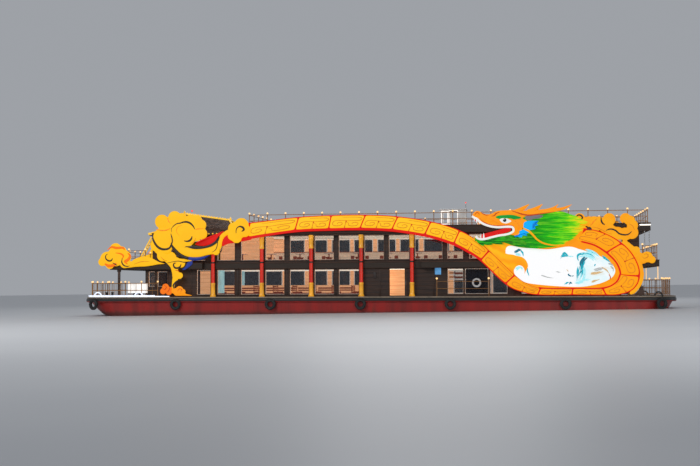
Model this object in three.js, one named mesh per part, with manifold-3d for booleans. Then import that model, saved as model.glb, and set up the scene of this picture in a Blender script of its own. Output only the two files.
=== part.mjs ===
// A traditional river cruise boat with a lantern dragon along each side, as a 1:2 model.
// Every length below is in metres of the full-size boat; scaleToModel turns them into millimetres.
// X runs from bow (negative) to stern, Y from port (negative) to starboard, Z up from the flat bottom.
// Pieces of one side are modelled on the starboard side and mirrored to port.
import * as THREE from "three";
import { mergeVertices } from "three/addons/utils/BufferGeometryUtils.js";
import Module from "manifold-3d";

const wasm = await Module();
wasm.setup();

// Driving dimensions
const MODEL_MM_PER_METRE = 500;
const GAP = 0.3 / MODEL_MM_PER_METRE;
const HALF_LENGTH = 24.0;
const HALF_BEAM = 5.2;
const END_ROUNDING = 2.6;
const END_POWER = 0.8;
const HULL_TOP = 2.33;
const DECK = 2.4;
const UPPER = DECK + 2.78;
const SUN = DECK + 5.6;
const UPPER_UNDERSIDE = DECK + 2.27;
const SUN_UNDERSIDE = DECK + 5.0;
const SIDE_FACE = 4.95;
const WALL_FACE = 4.4;
const WALL = 0.12;
const LOWER_BOW = -18.2;
const LOWER_STERN = 19.5;
const UPPER_BOW = -17.6;
const UPPER_STERN = 20.9;
const SLAB_BOW = -21.0;
const SLAB_STERN = 22.3;
const SUN_BOW = -10.8;
const SUN_STERN = 21.7;
const COLUMNS = [-12.46, -8.46, -4.46, -0.46, 3.54];
const COLUMN_Y = 4.72;

// Depths of the lantern work, outwards from the centreline
const BACK = [SIDE_FACE, 5.08 - GAP];
const BODY = [SIDE_FACE, 5.22 - GAP];
const FRONT = [5.22, 5.34 - GAP];
const HEAD = [5.34, 5.52];

// Finishes: colour, roughness, metalness
const FINISHES = {
  hull_red: [0x9a2418, 0.55, 0.0],
  rubber: [0x141414, 0.85, 0.0],
  deck_grey: [0x6b625a, 0.8, 0.0],
  white_paint: [0xe8e4dc, 0.45, 0.0],
  dark_wood: [0x3a1e12, 0.5, 0.0],
  window_glass: [0xffe2a0, 0.1, 0.0],
  column_red: [0xb02012, 0.35, 0.0],
  rail_gold: [0xb8862c, 0.4, 0.6],
  roof_tile: [0x4a2a18, 0.6, 0.0],
  lantern_yellow: [0xf6c21c, 0.5, 0.0],
  lantern_white: [0xf4f0e4, 0.5, 0.0],
  lantern_green: [0x1e7a50, 0.5, 0.0],
  lantern_orange: [0xe8731a, 0.5, 0.0],
  bronze: [0x9c7436, 0.4, 0.9],
  bench_wood: [0x7c4a24, 0.5, 0.0],
};

// Solids from three.js geometry, and their joins and cuts

function solid(geometry) {
  const bare = geometry.clone();
  bare.deleteAttribute("normal");
  bare.deleteAttribute("uv");
  const merged = mergeVertices(bare, 1e-5);
  return new wasm.Manifold(new wasm.Mesh({
    numProp: 3,
    vertProperties: new Float32Array(merged.attributes.position.array),
    triVerts: new Uint32Array(merged.index.array),
  }));
}

function join(solids) {
  return solids.reduce((whole, piece) => whole.add(piece));
}

function cut(body, tools) {
  return tools.reduce((left, tool) => left.subtract(tool), body);
}

function scaleToModel(shape) {
  const { vertProperties, triVerts } = shape.getMesh();
  const geometry = new THREE.BufferGeometry();
  geometry.setAttribute("position", new THREE.BufferAttribute(new Float32Array(vertProperties), 3));
  geometry.setIndex(new THREE.BufferAttribute(new Uint32Array(triVerts), 1));
  geometry.scale(MODEL_MM_PER_METRE, MODEL_MM_PER_METRE, MODEL_MM_PER_METRE);
  geometry.computeVertexNormals();
  return geometry;
}

function mirrored(geometry) {
  const copy = geometry.index ? geometry.clone() : mergeVertices(geometry);
  copy.scale(1, -1, 1);
  const index = copy.index.array;
  for (let i = 0; i < index.length; i += 3) {
    [index[i], index[i + 1]] = [index[i + 1], index[i]];
  }
  copy.computeVertexNormals();
  return copy;
}

function block(x0, x1, y0, y1, z0, z1) {
  const box = new THREE.BoxGeometry(x1 - x0, y1 - y0, z1 - z0);
  box.translate((x0 + x1) / 2, (y0 + y1) / 2, (z0 + z1) / 2);
  return solid(box);
}

// A closed outline in plan, raised from z0 to z1, with an optional hole
function slab(outline, z0, z1, hole) {
  const shape = new THREE.Shape(outline.map(([x, y]) => new THREE.Vector2(x, y)));
  if (hole) {
    shape.holes.push(new THREE.Path(hole.map(([x, y]) => new THREE.Vector2(x, y))));
  }
  const geometry = new THREE.ExtrudeGeometry(shape, { depth: z1 - z0, bevelEnabled: false });
  geometry.translate(0, 0, z0);
  return solid(geometry);
}

// A closed outline in side view, between two depths; heights are above the main deck
function panel(outline, [y0, y1]) {
  const shape = new THREE.Shape(outline.map(([x, height]) => new THREE.Vector2(x, height)));
  const geometry = new THREE.ExtrudeGeometry(shape, { depth: y1 - y0, bevelEnabled: false });
  geometry.rotateX(Math.PI / 2);
  geometry.translate(0, y1, DECK);
  return solid(geometry);
}

// Round discs in side view, joined; their rows are x, height above the main deck, radius
function lobes(rows, [y0, y1], widen = 0) {
  const sides = 12;
  return join(rows.map(([x, height, radius]) => {
    const disc = new THREE.CylinderGeometry(radius + widen, radius + widen, y1 - y0, sides);
    disc.translate(x, (y0 + y1) / 2, DECK + height);
    return solid(disc);
  }));
}

// A band in side view along a smooth line; its rows are x, height above the main deck, half width.
// Widened, it reaches as much further at its two ends
function bandOutline(rows, steps, widen = 0) {
  const line = new THREE.CatmullRomCurve3(rows.map((row) => new THREE.Vector3(...row)));
  const points = line.getPoints(steps);
  const left = [];
  const right = [];
  points.forEach((point, i) => {
    const before = points[Math.max(i - 1, 0)];
    const after = points[Math.min(i + 1, steps)];
    const along = new THREE.Vector2(after.x - before.x, after.y - before.y).normalize();
    const half = point.z + widen;
    const beyond = { 0: -widen, [steps]: widen }[i] ?? 0;
    const [x, height] = [point.x + along.x * beyond, point.y + along.y * beyond];
    left.push([x - along.y * half, height + along.x * half]);
    right.unshift([x + along.y * half, height - along.x * half]);
  });
  return [...left, ...right];
}

function band(rows, steps, depth, widen) {
  return panel(bandOutline(rows, steps, widen), depth);
}

// A closed skin through rings of equal point counts, capped flat at both ends
function loft(rings) {
  const count = rings[0].length;
  const triangles = [];
  for (let ring = 0; ring + 1 < rings.length; ring += 1) {
    for (let i = 0; i < count; i += 1) {
      const [a, b] = [ring * count + i, ring * count + ((i + 1) % count)];
      triangles.push(a, b, b + count, a, b + count, a + count);
    }
  }
  const top = (rings.length - 1) * count;
  for (let i = 1; i + 1 < count; i += 1) {
    triangles.push(0, i + 1, i, top, top + i, top + i + 1);
  }
  const geometry = new THREE.BufferGeometry();
  geometry.setAttribute("position", new THREE.Float32BufferAttribute(rings.flat(2), 3));
  geometry.setIndex(triangles);
  return solid(geometry);
}

// The boat's plan, drawn in along its flanks, at its round bow and at its round stern
function planOutline(flank, bow = flank, stern = flank) {
  const steps = 7;
  const points = [];
  [[1, stern], [-1, bow]].forEach(([end, inset]) => {
    for (let i = -steps; i <= steps; i += 1) {
      const angle = (i / steps) * (Math.PI / 2);
      const bulge = END_ROUNDING * Math.abs(Math.cos(angle)) ** END_POWER;
      const width = (HALF_BEAM - flank) * Math.abs(Math.sin(angle)) ** END_POWER;
      points.push([end * (HALF_LENGTH - inset - END_ROUNDING + bulge), end * Math.sign(angle) * width]);
    }
  });
  return points;
}

// The plan's half width at x, and the turn of its face there
function faceAt(x) {
  const halfWidth = (at) => {
    const along = Math.max(0, (Math.abs(at) - HALF_LENGTH + END_ROUNDING) / END_ROUNDING);
    return HALF_BEAM * (1 - along ** (2 / END_POWER)) ** (END_POWER / 2);
  };
  const step = 0.05;
  return { y: halfWidth(x), turn: Math.atan((halfWidth(x + step) - halfWidth(x - step)) / (2 * step)) };
}

// A path in plan shifted sideways, with mitred corners
function shifted(path, offset, closed) {
  const count = path.length;
  const side = ([x0, y0], [x1, y1]) => {
    const length = Math.hypot(x1 - x0, y1 - y0);
    return [-(y1 - y0) / length, (x1 - x0) / length];
  };
  return path.map((corner, i) => {
    const before = i > 0 || closed ? side(path[(i + count - 1) % count], corner) : side(corner, path[1]);
    const after = i < count - 1 || closed ? side(corner, path[(i + 1) % count]) : before;
    const mitre = offset / (1 + before[0] * after[0] + before[1] * after[1]);
    return [corner[0] + mitre * (before[0] + after[0]), corner[1] + mitre * (before[1] + after[1])];
  });
}

// A rail of square section along a path in plan, its top at a height
function rail(path, half, top, closed) {
  const [left, right] = [shifted(path, half, closed), shifted(path, -half, closed)];
  return closed ? slab(right, top - 2 * half, top, left)
    : slab([...right, ...left.reverse()], top - 2 * half, top);
}

// A railing along straight legs in plan: posts with a lamp on each, a middle rail and a top rail
function railing(path, pitch, floor, height, lamp, closed = false) {
  const postHalf = 0.03;
  const railHalf = 0.045;
  const legs = closed ? [...path, path[0]] : path;
  const posts = stepped(legs, pitch).slice(closed ? 1 : 0);
  const pieces = posts.flatMap(([x, y]) => {
    const globe = new THREE.OctahedronGeometry(lamp, 0);
    globe.rotateZ(Math.PI / 5);
    globe.translate(x, y, floor + height + 0.9 * lamp);
    return [
      block(x - postHalf, x + postHalf, y - postHalf, y + postHalf, floor + GAP, floor + height - railHalf),
      solid(globe),
    ];
  });
  const rails = [0.5 * height, height].map((top) => rail(path, railHalf, floor + top, closed));
  return join([...rails, ...pieces]);
}

// Points at about equal steps along straight legs between corners
function stepped(corners, pitch) {
  const points = [corners[0]];
  corners.slice(1).forEach(([x1, y1], leg) => {
    const [x0, y0] = corners[leg];
    const count = Math.max(1, Math.round(Math.hypot(x1 - x0, y1 - y0) / pitch));
    for (let i = 1; i <= count; i += 1) {
      points.push([x0 + ((x1 - x0) * i) / count, y0 + ((y1 - y0) * i) / count]);
    }
  });
  return points;
}

const boat = new THREE.Group();

function addGeometry(name, geometry, finish) {
  const [color, roughness, metalness] = FINISHES[finish];
  const mesh = new THREE.Mesh(geometry, new THREE.MeshStandardMaterial({ color, roughness, metalness }));
  mesh.name = name;
  boat.add(mesh);
}

function add(name, shape, finish) {
  addGeometry(name, scaleToModel(shape), finish);
}

function addPair(name, shape, finish) {
  const starboard = scaleToModel(shape);
  addGeometry(`${name}_starboard`, starboard, finish);
  addGeometry(`${name}_port`, mirrored(starboard), finish);
}

// Hull

const COUNTER = 1.15;
const BELT_WIDTH = 0.15;
const BELT_BOTTOM = 2.02;
const PROPELLER = { x: 20.72, y: 1.7, z: 0.6, radius: 0.48, hub: 0.13, length: 0.3, blades: 4, pitch: 0.9 };
const SHAFT = { radius: 0.09, length: 1.2, sides: 10 };
const RUDDER = {
  x: 21.75, y: 1.7, bottom: 0.12, top: 1.08, fore: 0.3, aft: 0.55, half: 0.04, stock: 0.07, sides: 24,
  well: 0.35, headroom: 0.05,
};
const WELL_RADIUS = (RUDDER.stock + GAP) / Math.cos(Math.PI / RUDDER.sides);

// An upright round bar of the rudder's stock
function stock(radius, x, y, z0, z1) {
  const bar = new THREE.CylinderGeometry(radius, radius, z1 - z0, RUDDER.sides);
  bar.rotateX(Math.PI / 2);
  bar.translate(x, y, (z0 + z1) / 2);
  return solid(bar);
}

function hull() {
  // Rows: height, drawn in along the flanks, at the bow, at the stern
  const sections = [
    [0.0, 0.5, 3.6, 4.4],
    [0.35, 0.18, 2.7, 4.1],
    [COUNTER, BELT_WIDTH, 1.3, 3.8],
    [COUNTER + 0.06, BELT_WIDTH, 1.25, 0.9],
    [BELT_BOTTOM, BELT_WIDTH, 0.4, 0.3],
    [HULL_TOP, BELT_WIDTH, BELT_WIDTH, BELT_WIDTH],
  ];
  const shell = loft(sections.map(([z, flank, bow, stern]) => (
    planOutline(flank, bow, stern).map(([x, y]) => [x, y, z])
  )));
  const wells = [1, -1].map((side) => (
    stock(WELL_RADIUS, RUDDER.x, side * RUDDER.y, COUNTER - WELL_RADIUS, COUNTER + RUDDER.well)
  ));
  const shafts = [1, -1].map((side) => {
    const shaft = new THREE.CylinderGeometry(SHAFT.radius, SHAFT.radius, SHAFT.length, SHAFT.sides);
    shaft.rotateZ(Math.PI / 2);
    const end = PROPELLER.x - PROPELLER.length / 2 - GAP;
    shaft.translate(end - SHAFT.length / 2, side * PROPELLER.y, PROPELLER.z);
    return solid(shaft);
  });
  return join([cut(shell, wells), ...shafts]);
}

// The rubbing belt round the hull, with the tyres that hang on it
const TYRES = [-22.3, -15.4, -7.65, -0.46, 6.55, 15.3, 22.4];
const TYRE = { radius: 0.45, hole: 0.2, width: 0.2, z: 1.87, sunk: 0.03 };

function tyre(x) {
  const shape = new THREE.Shape().absarc(0, 0, TYRE.radius, 0, 2 * Math.PI);
  shape.holes.push(new THREE.Path().absarc(0, 0, TYRE.hole, 0, 2 * Math.PI));
  const settings = { depth: TYRE.width, bevelEnabled: false, curveSegments: 10 };
  const ring = new THREE.ExtrudeGeometry(shape, settings);
  ring.rotateX(Math.PI / 2);
  ring.translate(0, TYRE.width - TYRE.sunk, 0);
  const { y, turn } = faceAt(x);
  ring.rotateZ(turn);
  ring.translate(x, y, TYRE.z);
  return ring;
}

function rubbingBelt() {
  const belt = slab(planOutline(0), BELT_BOTTOM, HULL_TOP, planOutline(BELT_WIDTH - GAP));
  const tyres = TYRES.flatMap((x) => {
    const ring = tyre(x);
    return [solid(ring), solid(mirrored(ring))];
  });
  return join([belt, ...tyres]);
}

function propeller(side) {
  const hub = new THREE.CylinderGeometry(PROPELLER.hub, PROPELLER.hub, PROPELLER.length, 12);
  hub.rotateZ(Math.PI / 2);
  const root = 0.05;
  const blades = Array.from({ length: PROPELLER.blades }, (_, i) => {
    const blade = new THREE.BoxGeometry(0.04, 0.3, PROPELLER.radius - root);
    blade.translate(0, 0, (PROPELLER.radius + root) / 2);
    blade.rotateZ(side * PROPELLER.pitch);
    blade.rotateX((i * 2 * Math.PI) / PROPELLER.blades);
    return solid(blade);
  });
  return join([solid(hub), ...blades]);
}

function rudder() {
  const { fore, aft, half, bottom, top } = RUDDER;
  const blade = block(-fore, aft, -half, half, bottom, top);
  return blade.add(stock(RUDDER.stock, 0, 0, top - fore, COUNTER + RUDDER.well - RUDDER.headroom));
}

add("hull", hull(), "hull_red");
add("rubbing_belt", rubbingBelt(), "rubber");
add("main_deck", slab(planOutline(0.05), HULL_TOP + GAP, DECK), "deck_grey");
[["starboard", 1], ["port", -1]].forEach(([name, side]) => {
  const blades = propeller(side).translate([PROPELLER.x, side * PROPELLER.y, PROPELLER.z]);
  add(`propeller_${name}`, blades, "bronze");
  add(`rudder_${name}`, rudder().translate([RUDDER.x, side * RUDDER.y, 0]), "hull_red");
});

// Bow bulwark: a low white plate round the foredeck, with two hoops to a side and a beam across that
// carries the mooring bitts, a pair of square posts to a side
const BITT = { x: -21.6, y: 3.4, spread: 0.25, half: 0.1, height: 0.45 };
const BITT_BEAM = { half: 0.35, height: 0.06, inset: 0.17 };

function bitts() {
  const { half, height, inset } = BITT_BEAM;
  const across = block(BITT.x - half, BITT.x + half, -HALF_BEAM, HALF_BEAM, 0, SUN);
  const beam = slab(planOutline(inset), DECK + GAP, DECK + height).intersect(across);
  const posts = [1, -1].flatMap((side) => [-BITT.spread, BITT.spread].map((offset) => {
    const [x, y] = [BITT.x + offset, side * BITT.y];
    return block(x - BITT.half, x + BITT.half, y - BITT.half, y + BITT.half, DECK + GAP, DECK + BITT.height);
  }));
  return join([beam, ...posts]);
}

function bowBulwark() {
  const height = 0.2;
  const aft = -17.2;
  const ring = slab(planOutline(0.12), DECK + GAP, DECK + height, planOutline(0.22));
  const keep = block(-HALF_LENGTH - 1, aft, -HALF_BEAM - 1, HALF_BEAM + 1, 0, DECK + 1);
  const hoops = [-22.0, -18.55].flatMap((x) => {
    const hoop = new THREE.Shape().absarc(0, 0, 0.38, 0, Math.PI);
    hoop.absarc(0, 0, 0.28, Math.PI, 0, true);
    const arch = new THREE.ExtrudeGeometry(hoop, { depth: 0.1, bevelEnabled: false, curveSegments: 6 });
    arch.rotateX(Math.PI / 2);
    const { y, turn } = faceAt(x);
    arch.rotateZ(turn);
    arch.translate(x, y - 0.12, DECK + 0.1);
    return [solid(arch), solid(mirrored(arch))];
  });
  return join([ring.intersect(keep), ...hoops, bitts()]);
}

// Walls with windows; an opening's row is x from, x to, height from, height to above the deck it is on

function sideWall(x0, x1, floor, ceiling, openings) {
  const wall = block(x0, x1, WALL_FACE - WALL, WALL_FACE, floor + GAP, ceiling - GAP);
  return cut(wall, openings.map(([from, to, low, high]) => (
    block(from, to, WALL_FACE - 2 * WALL, WALL_FACE + WALL, floor + low, floor + high)
  )));
}

// Openings in a bulkhead: y from, y to, height from, height to
function bulkhead(x, thickness, floor, ceiling, openings) {
  const half = WALL_FACE - WALL - GAP;
  const wall = block(x, x + thickness, -half, half, floor + GAP, ceiling - GAP);
  return cut(wall, openings.map(([from, to, low, high]) => (
    block(x - WALL, x + thickness + WALL, from, to, floor + low, floor + high)
  )));
}

const LOWER_SILL = 0.24;
const LOWER_HEAD = 2.2;
const DOOR = { from: 1.75, to: 3.02, sill: 0.12, head: 2.2, slide: 1.2 };
const LOWER_WINDOWS = [
  [-13.9, -12.75], [-12.2, -10.75], [-10.25, -8.7], [-8.25, -6.7], [-6.25, -4.7],
  [-4.25, -2.7], [-2.3, -0.7], [6.3, 7.5], [7.65, 9.45], [9.6, 10.9], [12.0, 13.6], [14.0, 15.6],
  [16.0, 17.6],
].map(([from, to]) => [from, to, LOWER_SILL, LOWER_HEAD]);
const BOW_WINDOWS = [[-17.95, -17.4, 0.9, 2.1], [-17.2, -16.35, 0.9, 2.1]];
const LOWER_DOORWAY = [DOOR.from, DOOR.to, DOOR.sill, DOOR.head];

const UPPER_SILL = 0.2;
const UPPER_HEAD = 2.1;
const UPPER_WINDOWS = [
  [-16.9, -15.4], [-15.0, -13.2], [-12.2, -10.75], [-10.25, -8.7], [-8.25, -6.7], [-6.25, -4.7],
  [-4.25, -2.7], [-2.3, -0.7], [-0.25, 1.3], [1.7, 3.3], [3.75, 5.9], [6.3, 7.5],
  [8.0, 9.6], [10.0, 11.6], [12.0, 13.6], [14.0, 15.6], [16.0, 17.6], [18.0, 19.6],
].map(([from, to]) => [from, to, UPPER_SILL, UPPER_HEAD]);

const LEAF = 0.06;
const BOW_DOOR = { width: 0.9, head: 2.1, clearance: 0.012 };

// The bow doors' hinges: barrels on the leaves stand on brackets of the bulkhead
const HINGE = {
  x: LOWER_BOW - 0.02, y: BOW_DOOR.width + 0.03, radius: 0.016, length: 0.12, heights: [0.3, 1.7],
};

function lowerBowBulkhead() {
  const jamb = BOW_DOOR.width + 0.02;
  const wall = bulkhead(LOWER_BOW, WALL, DECK, UPPER_UNDERSIDE, [
    [-jamb, jamb, 0.03, BOW_DOOR.head + 0.02], [-3.8, -1.6, 0.8, 2.0], [1.6, 3.8, 0.8, 2.0],
  ]);
  const brackets = HINGE.heights.flatMap((height) => [1, -1].map((side) => {
    const [y0, y1] = [side * (HINGE.y - 0.008), side * (HINGE.y + 0.03)];
    const top = DECK + height - GAP;
    return block(HINGE.x - 0.02, LOWER_BOW + 0.01, Math.min(y0, y1), Math.max(y0, y1), top - 0.06, top);
  }));
  return join([wall, ...brackets]);
}

add("bow_bulwark", bowBulwark(), "white_paint");
addPair("lower_wall", sideWall(
  LOWER_BOW, LOWER_STERN, DECK, UPPER_UNDERSIDE, [...BOW_WINDOWS, ...LOWER_WINDOWS, LOWER_DOORWAY],
), "dark_wood");
add("lower_bow_bulkhead", lowerBowBulkhead(), "dark_wood");
add("lower_stern_bulkhead", bulkhead(LOWER_STERN - WALL, WALL, DECK, UPPER_UNDERSIDE, [
  [-0.9, 0.9, 0.05, 2.1], [-3.8, -1.6, 0.8, 2.0], [1.6, 3.8, 0.8, 2.0],
]), "dark_wood");
addPair("upper_wall", sideWall(UPPER_BOW, UPPER_STERN, UPPER, SUN_UNDERSIDE, UPPER_WINDOWS), "dark_wood");
add("upper_bow_bulkhead", bulkhead(UPPER_BOW, WALL, UPPER, SUN_UNDERSIDE, [
  [-3.9, -1.4, 0.7, 2.0], [-1.1, 1.1, 0.7, 2.0], [1.4, 3.9, 0.7, 2.0],
]), "dark_wood");
add("upper_stern_bulkhead", bulkhead(UPPER_STERN - WALL, WALL, UPPER, SUN_UNDERSIDE, [
  [-0.9, 0.9, 0.05, 2.1], [-3.8, -1.6, 0.8, 2.0], [1.6, 3.8, 0.8, 2.0],
]), "dark_wood");

// Glazing: one sheet behind each row of windows, let down to a strip behind a doorway's sill

const GLASS = [WALL_FACE - WALL - GAP - 0.03, WALL_FACE - WALL - GAP];

function glazing(x0, x1, floor, low, high) {
  return block(x0, x1, ...GLASS, floor + low, floor + high);
}

const slideway = block(
  DOOR.from - 0.2, DOOR.to + DOOR.slide + 0.2, GLASS[0] - WALL, GLASS[1] + WALL, DECK + 0.1, UPPER,
);
const lowerGlass = glazing(LOWER_BOW + WALL + 0.02, 17.8, DECK, 0.02, UPPER_UNDERSIDE - DECK - 0.02);
addPair("lower_glazing", lowerGlass.subtract(slideway), "window_glass");
addPair("upper_glazing", glazing(-17.1, 19.8, UPPER, 0.1, 2.18), "window_glass");

// Doors: a sliding leaf on shoes inside each side wall, open as it stands, and two hinged leaves at the bow

const SLIDE_FACE = GLASS[0] - 0.02;
const SHOE = 0.14;

function sideDoor() {
  const [x0, x1] = [DOOR.to - 0.1, DOOR.to + DOOR.slide + 0.06];
  const [y0, y1] = [SLIDE_FACE - LEAF, SLIDE_FACE];
  const leaf = block(x0, x1, y0, y1, DECK + 0.02, DECK + DOOR.head + 0.04);
  const shoes = [x0 + 0.1, x1 - 0.1 - SHOE].map((x) => (
    block(x, x + SHOE, y0 + 0.01, y1 - 0.01, DECK + GAP, DECK + 0.05)
  ));
  return join([leaf, ...shoes]);
}

function bowDoor() {
  const leaf = block(
    LOWER_BOW, LOWER_BOW + LEAF, BOW_DOOR.clearance, BOW_DOOR.width, DECK + 0.05, DECK + BOW_DOOR.head,
  );
  const barrels = HINGE.heights.flatMap((height) => {
    const barrel = new THREE.CylinderGeometry(HINGE.radius, HINGE.radius, HINGE.length, 8);
    barrel.rotateX(Math.PI / 2);
    barrel.translate(HINGE.x, HINGE.y, DECK + height + HINGE.length / 2);
    const [low, high] = [DECK + height + 0.02, DECK + height + 0.1];
    const strap = block(HINGE.x - 0.008, LOWER_BOW + 0.02, BOW_DOOR.width - 0.2, HINGE.y, low, high);
    return [solid(barrel), strap.subtract(block(
      LOWER_BOW - 0.004, LOWER_BOW + 1, BOW_DOOR.width, HINGE.y + 1, DECK, DECK + 3,
    ))];
  });
  return join([leaf, ...barrels]);
}

addPair("side_door", sideDoor(), "dark_wood");
addPair("bow_door", bowDoor(), "dark_wood");

// Decks above, the upper one drawn in behind the columns
const RECESS = { from: -13.3, to: 4.3, y: 4.55 };

function upperDeck() {
  const plate = block(SLAB_BOW, SLAB_STERN, -SIDE_FACE + GAP, SIDE_FACE - GAP, UPPER_UNDERSIDE, UPPER);
  return cut(plate, [[RECESS.y, HALF_BEAM], [-HALF_BEAM, -RECESS.y]].map(([y0, y1]) => (
    block(RECESS.from, RECESS.to, y0, y1, DECK, SUN)
  )));
}

add("upper_deck", upperDeck(), "dark_wood");
const sunDeck = block(SUN_BOW, SUN_STERN, -SIDE_FACE + GAP, SIDE_FACE - GAP, SUN_UNDERSIDE, SUN);
add("sun_deck", sunDeck, "dark_wood");

// Colonnade: turned columns between a kerb on the main deck and a beam under the sun deck

const COLUMN_PROFILE = [
  [0.0, 0.0], [0.24, 0.0], [0.24, 0.1], [0.17, 0.35], [0.17, 1.08], [0.15, 1.12],
  [0.15, 3.86], [0.18, 3.92], [0.16, 4.3], [0.21, 4.86], [0.21, 4.92], [0.0, 4.92],
];

function colonnade() {
  const [first, last] = [COLUMNS[0], COLUMNS.at(-1)];
  const kerb = block(first, last, COLUMN_Y - 0.1, COLUMN_Y + 0.1, DECK + GAP, DECK + 0.06);
  const beam = block(
    first - 0.2, last + 0.2, COLUMN_Y - 0.12, COLUMN_Y + 0.12, SUN_UNDERSIDE - 0.12, SUN_UNDERSIDE - GAP,
  );
  const columns = COLUMNS.map((x) => {
    const column = new THREE.LatheGeometry(COLUMN_PROFILE.map(([r, h]) => new THREE.Vector2(r, h)), 8);
    column.rotateX(Math.PI / 2);
    column.translate(x, COLUMN_Y, DECK + GAP);
    return solid(column);
  });
  return join([kerb, beam, ...columns]);
}

addPair("colonnade", colonnade(), "column_red");

// Railings

// Legs of a railing round a boat end, from one flank at x0 to the other; end is 1 astern and -1 forward
function roundEnd(x0, inset, end) {
  const side = HALF_BEAM - inset;
  const tip = HALF_LENGTH - inset;
  // Rows: back from the tip, out from the centreline
  const corners = [[END_ROUNDING, side], [1.0, side - 0.55], [0.2, 0.5 * side]];
  const near = corners.map(([back, out]) => [end * (tip - back), out]);
  return [[x0, side], ...near, ...near.map(([x, y]) => [x, -y]).reverse(), [x0, -side]];
}

const RAIL_INSET = 0.45;

// Two posts in the railing's line that carry the deck above
function porchPosts(x) {
  const half = 0.09;
  const y = HALF_BEAM - RAIL_INSET;
  return [1, -1].map((side) => (
    block(x - half, x + half, side * y - half, side * y + half, DECK + GAP, UPPER_UNDERSIDE - GAP)
  ));
}

// A bare board on the outside of each side of the foredeck railing
const BOARD = {
  from: -19.44, to: -17.8, low: 0.38, high: 1.16, y: HALF_BEAM - RAIL_INSET + 0.04, thickness: 0.05,
};

const boards = [BOARD.y, -BOARD.y - BOARD.thickness].map((y) => (
  block(BOARD.from, BOARD.to, y, y + BOARD.thickness, DECK + BOARD.low, DECK + BOARD.high)
));
const foredeckRailing = railing(roundEnd(-17.0, RAIL_INSET, -1), 1.3, DECK, 1.1, 0.11);
const sternRailing = railing(roundEnd(20.0, RAIL_INSET, 1), 1.3, DECK, 1.3, 0.11);
add("foredeck_railing", join([foredeckRailing, ...porchPosts(-20.3), ...boards]), "rail_gold");
add("stern_railing", join([sternRailing, ...porchPosts(20.9)]), "rail_gold");
add("bow_balcony_railing", railing(
  [[-18.1, 4.75], [-20.85, 4.75], [-20.85, -4.75], [-18.1, -4.75]], 1.4, UPPER, 1.05, 0.11,
), "rail_gold");
add("stern_balcony_railing", railing(
  [[21.1, 4.75], [22.15, 4.75], [22.15, -4.75], [21.1, -4.75]], 1.2, UPPER, 1.1, 0.11,
), "rail_gold");
add("sun_deck_railing", railing(
  [[-9.45, -4.8], [21.5, -4.8], [21.5, 4.8], [-9.45, 4.8]], 1.493, SUN, 1.0, 0.1, true,
), "rail_gold");

// Pavilion roof over the wheelhouse; its rows are x from, x to, half width, and the heights above the
// main deck at the bow end and at the stern end, where the ridge comes down

function pavilionRoof() {
  const rows = [
    [-17.7, SUN_BOW - GAP, SIDE_FACE - GAP, 5.0, 5.0],
    [-17.7, SUN_BOW - GAP, SIDE_FACE - GAP, 5.12, 5.12],
    [-16.95, SUN_BOW - 0.4, 3.2, 5.75, 5.7],
    [-16.2, SUN_BOW - 1.5, 0.15, 7.05, 6.45],
  ];
  return loft(rows.map(([x0, x1, half, bow, stern]) => (
    [[x0, -half, bow], [x1, -half, stern], [x1, half, stern], [x0, half, bow]].map(([x, y, height]) => (
      [x, y, DECK + height]
    ))
  )));
}

// Stair hood on the sun deck, open at its bow end, with the beacon mast behind it
const HOOD = { from: 5.5, to: 7.6, half: 0.9, height: 1.5, wall: 0.1, mast: 0.05, beacon: 2.1 };

// Openings in its sides: x from, x to, height from, height to above the sun deck
const HOOD_OPENINGS = [[5.65, 6.1, 0.3, 1.3], [6.25, 6.9, 0.15, 1.35]];

function stairHood() {
  const { from, to, half, height, wall, mast, beacon } = HOOD;
  const shell = block(from, to, -half, half, SUN + GAP, SUN + height);
  const inside = block(from - wall, to - wall, wall - half, half - wall, SUN - wall, SUN + height - wall);
  const pole = block(to - 2 * mast, to, -mast, mast, SUN + height - wall, SUN + beacon);
  const holes = HOOD_OPENINGS.map(([x0, x1, low, high]) => (
    block(x0, x1, -2 * half, 2 * half, SUN + low, SUN + high)
  ));
  return join([cut(shell, [inside, ...holes]), pole]);
}

add("pavilion_roof", pavilionRoof(), "roof_tile");
add("stair_hood", stairHood(), "white_paint");

// Furniture: benches below and tables with stools above, each row joined by a plinth on the deck

const BENCH = { from: -12.6, to: 0, pitch: 1.6, y: [1.4, 3.4], seat: [0.45, 0.45], back: [0.08, 0.95] };
const TABLE = {
  from: -11.0, to: 8, pitch: 2.4, length: 0.7, y: [1.8, 2.6], leg: 0.05, top: [0.71, 0.75],
  stools: [1.55, 2.85], stool: 0.2, seat: 0.45,
};

function benches() {
  const [seatDepth, seatHeight] = BENCH.seat;
  const [backDepth, backHeight] = BENCH.back;
  const pieces = [block(-13.0, 0.5, ...BENCH.y, DECK + GAP, DECK + 0.05)];
  for (let x = BENCH.from; x < BENCH.to; x += BENCH.pitch) {
    pieces.push(block(x, x + seatDepth, ...BENCH.y, DECK + 0.04, DECK + seatHeight));
    pieces.push(block(x - backDepth, x, ...BENCH.y, DECK + 0.04, DECK + backHeight));
  }
  return join(pieces);
}

function tables() {
  const { length, leg, stool } = TABLE;
  const middle = (TABLE.y[0] + TABLE.y[1]) / 2;
  const pieces = [block(-11.5, 8.6, 1.3, 3.1, UPPER + GAP, UPPER + 0.04)];
  for (let x = TABLE.from; x < TABLE.to; x += TABLE.pitch) {
    const centre = x + length / 2;
    pieces.push(block(centre - leg, centre + leg, middle - leg, middle + leg, UPPER + 0.03, UPPER + 0.72));
    pieces.push(block(x, x + length, ...TABLE.y, ...TABLE.top.map((height) => UPPER + height)));
    TABLE.stools.forEach((y) => pieces.push(block(
      centre - stool, centre + stool, y - stool, y + stool, UPPER + 0.03, UPPER + TABLE.seat,
    )));
  }
  return join(pieces);
}

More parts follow.
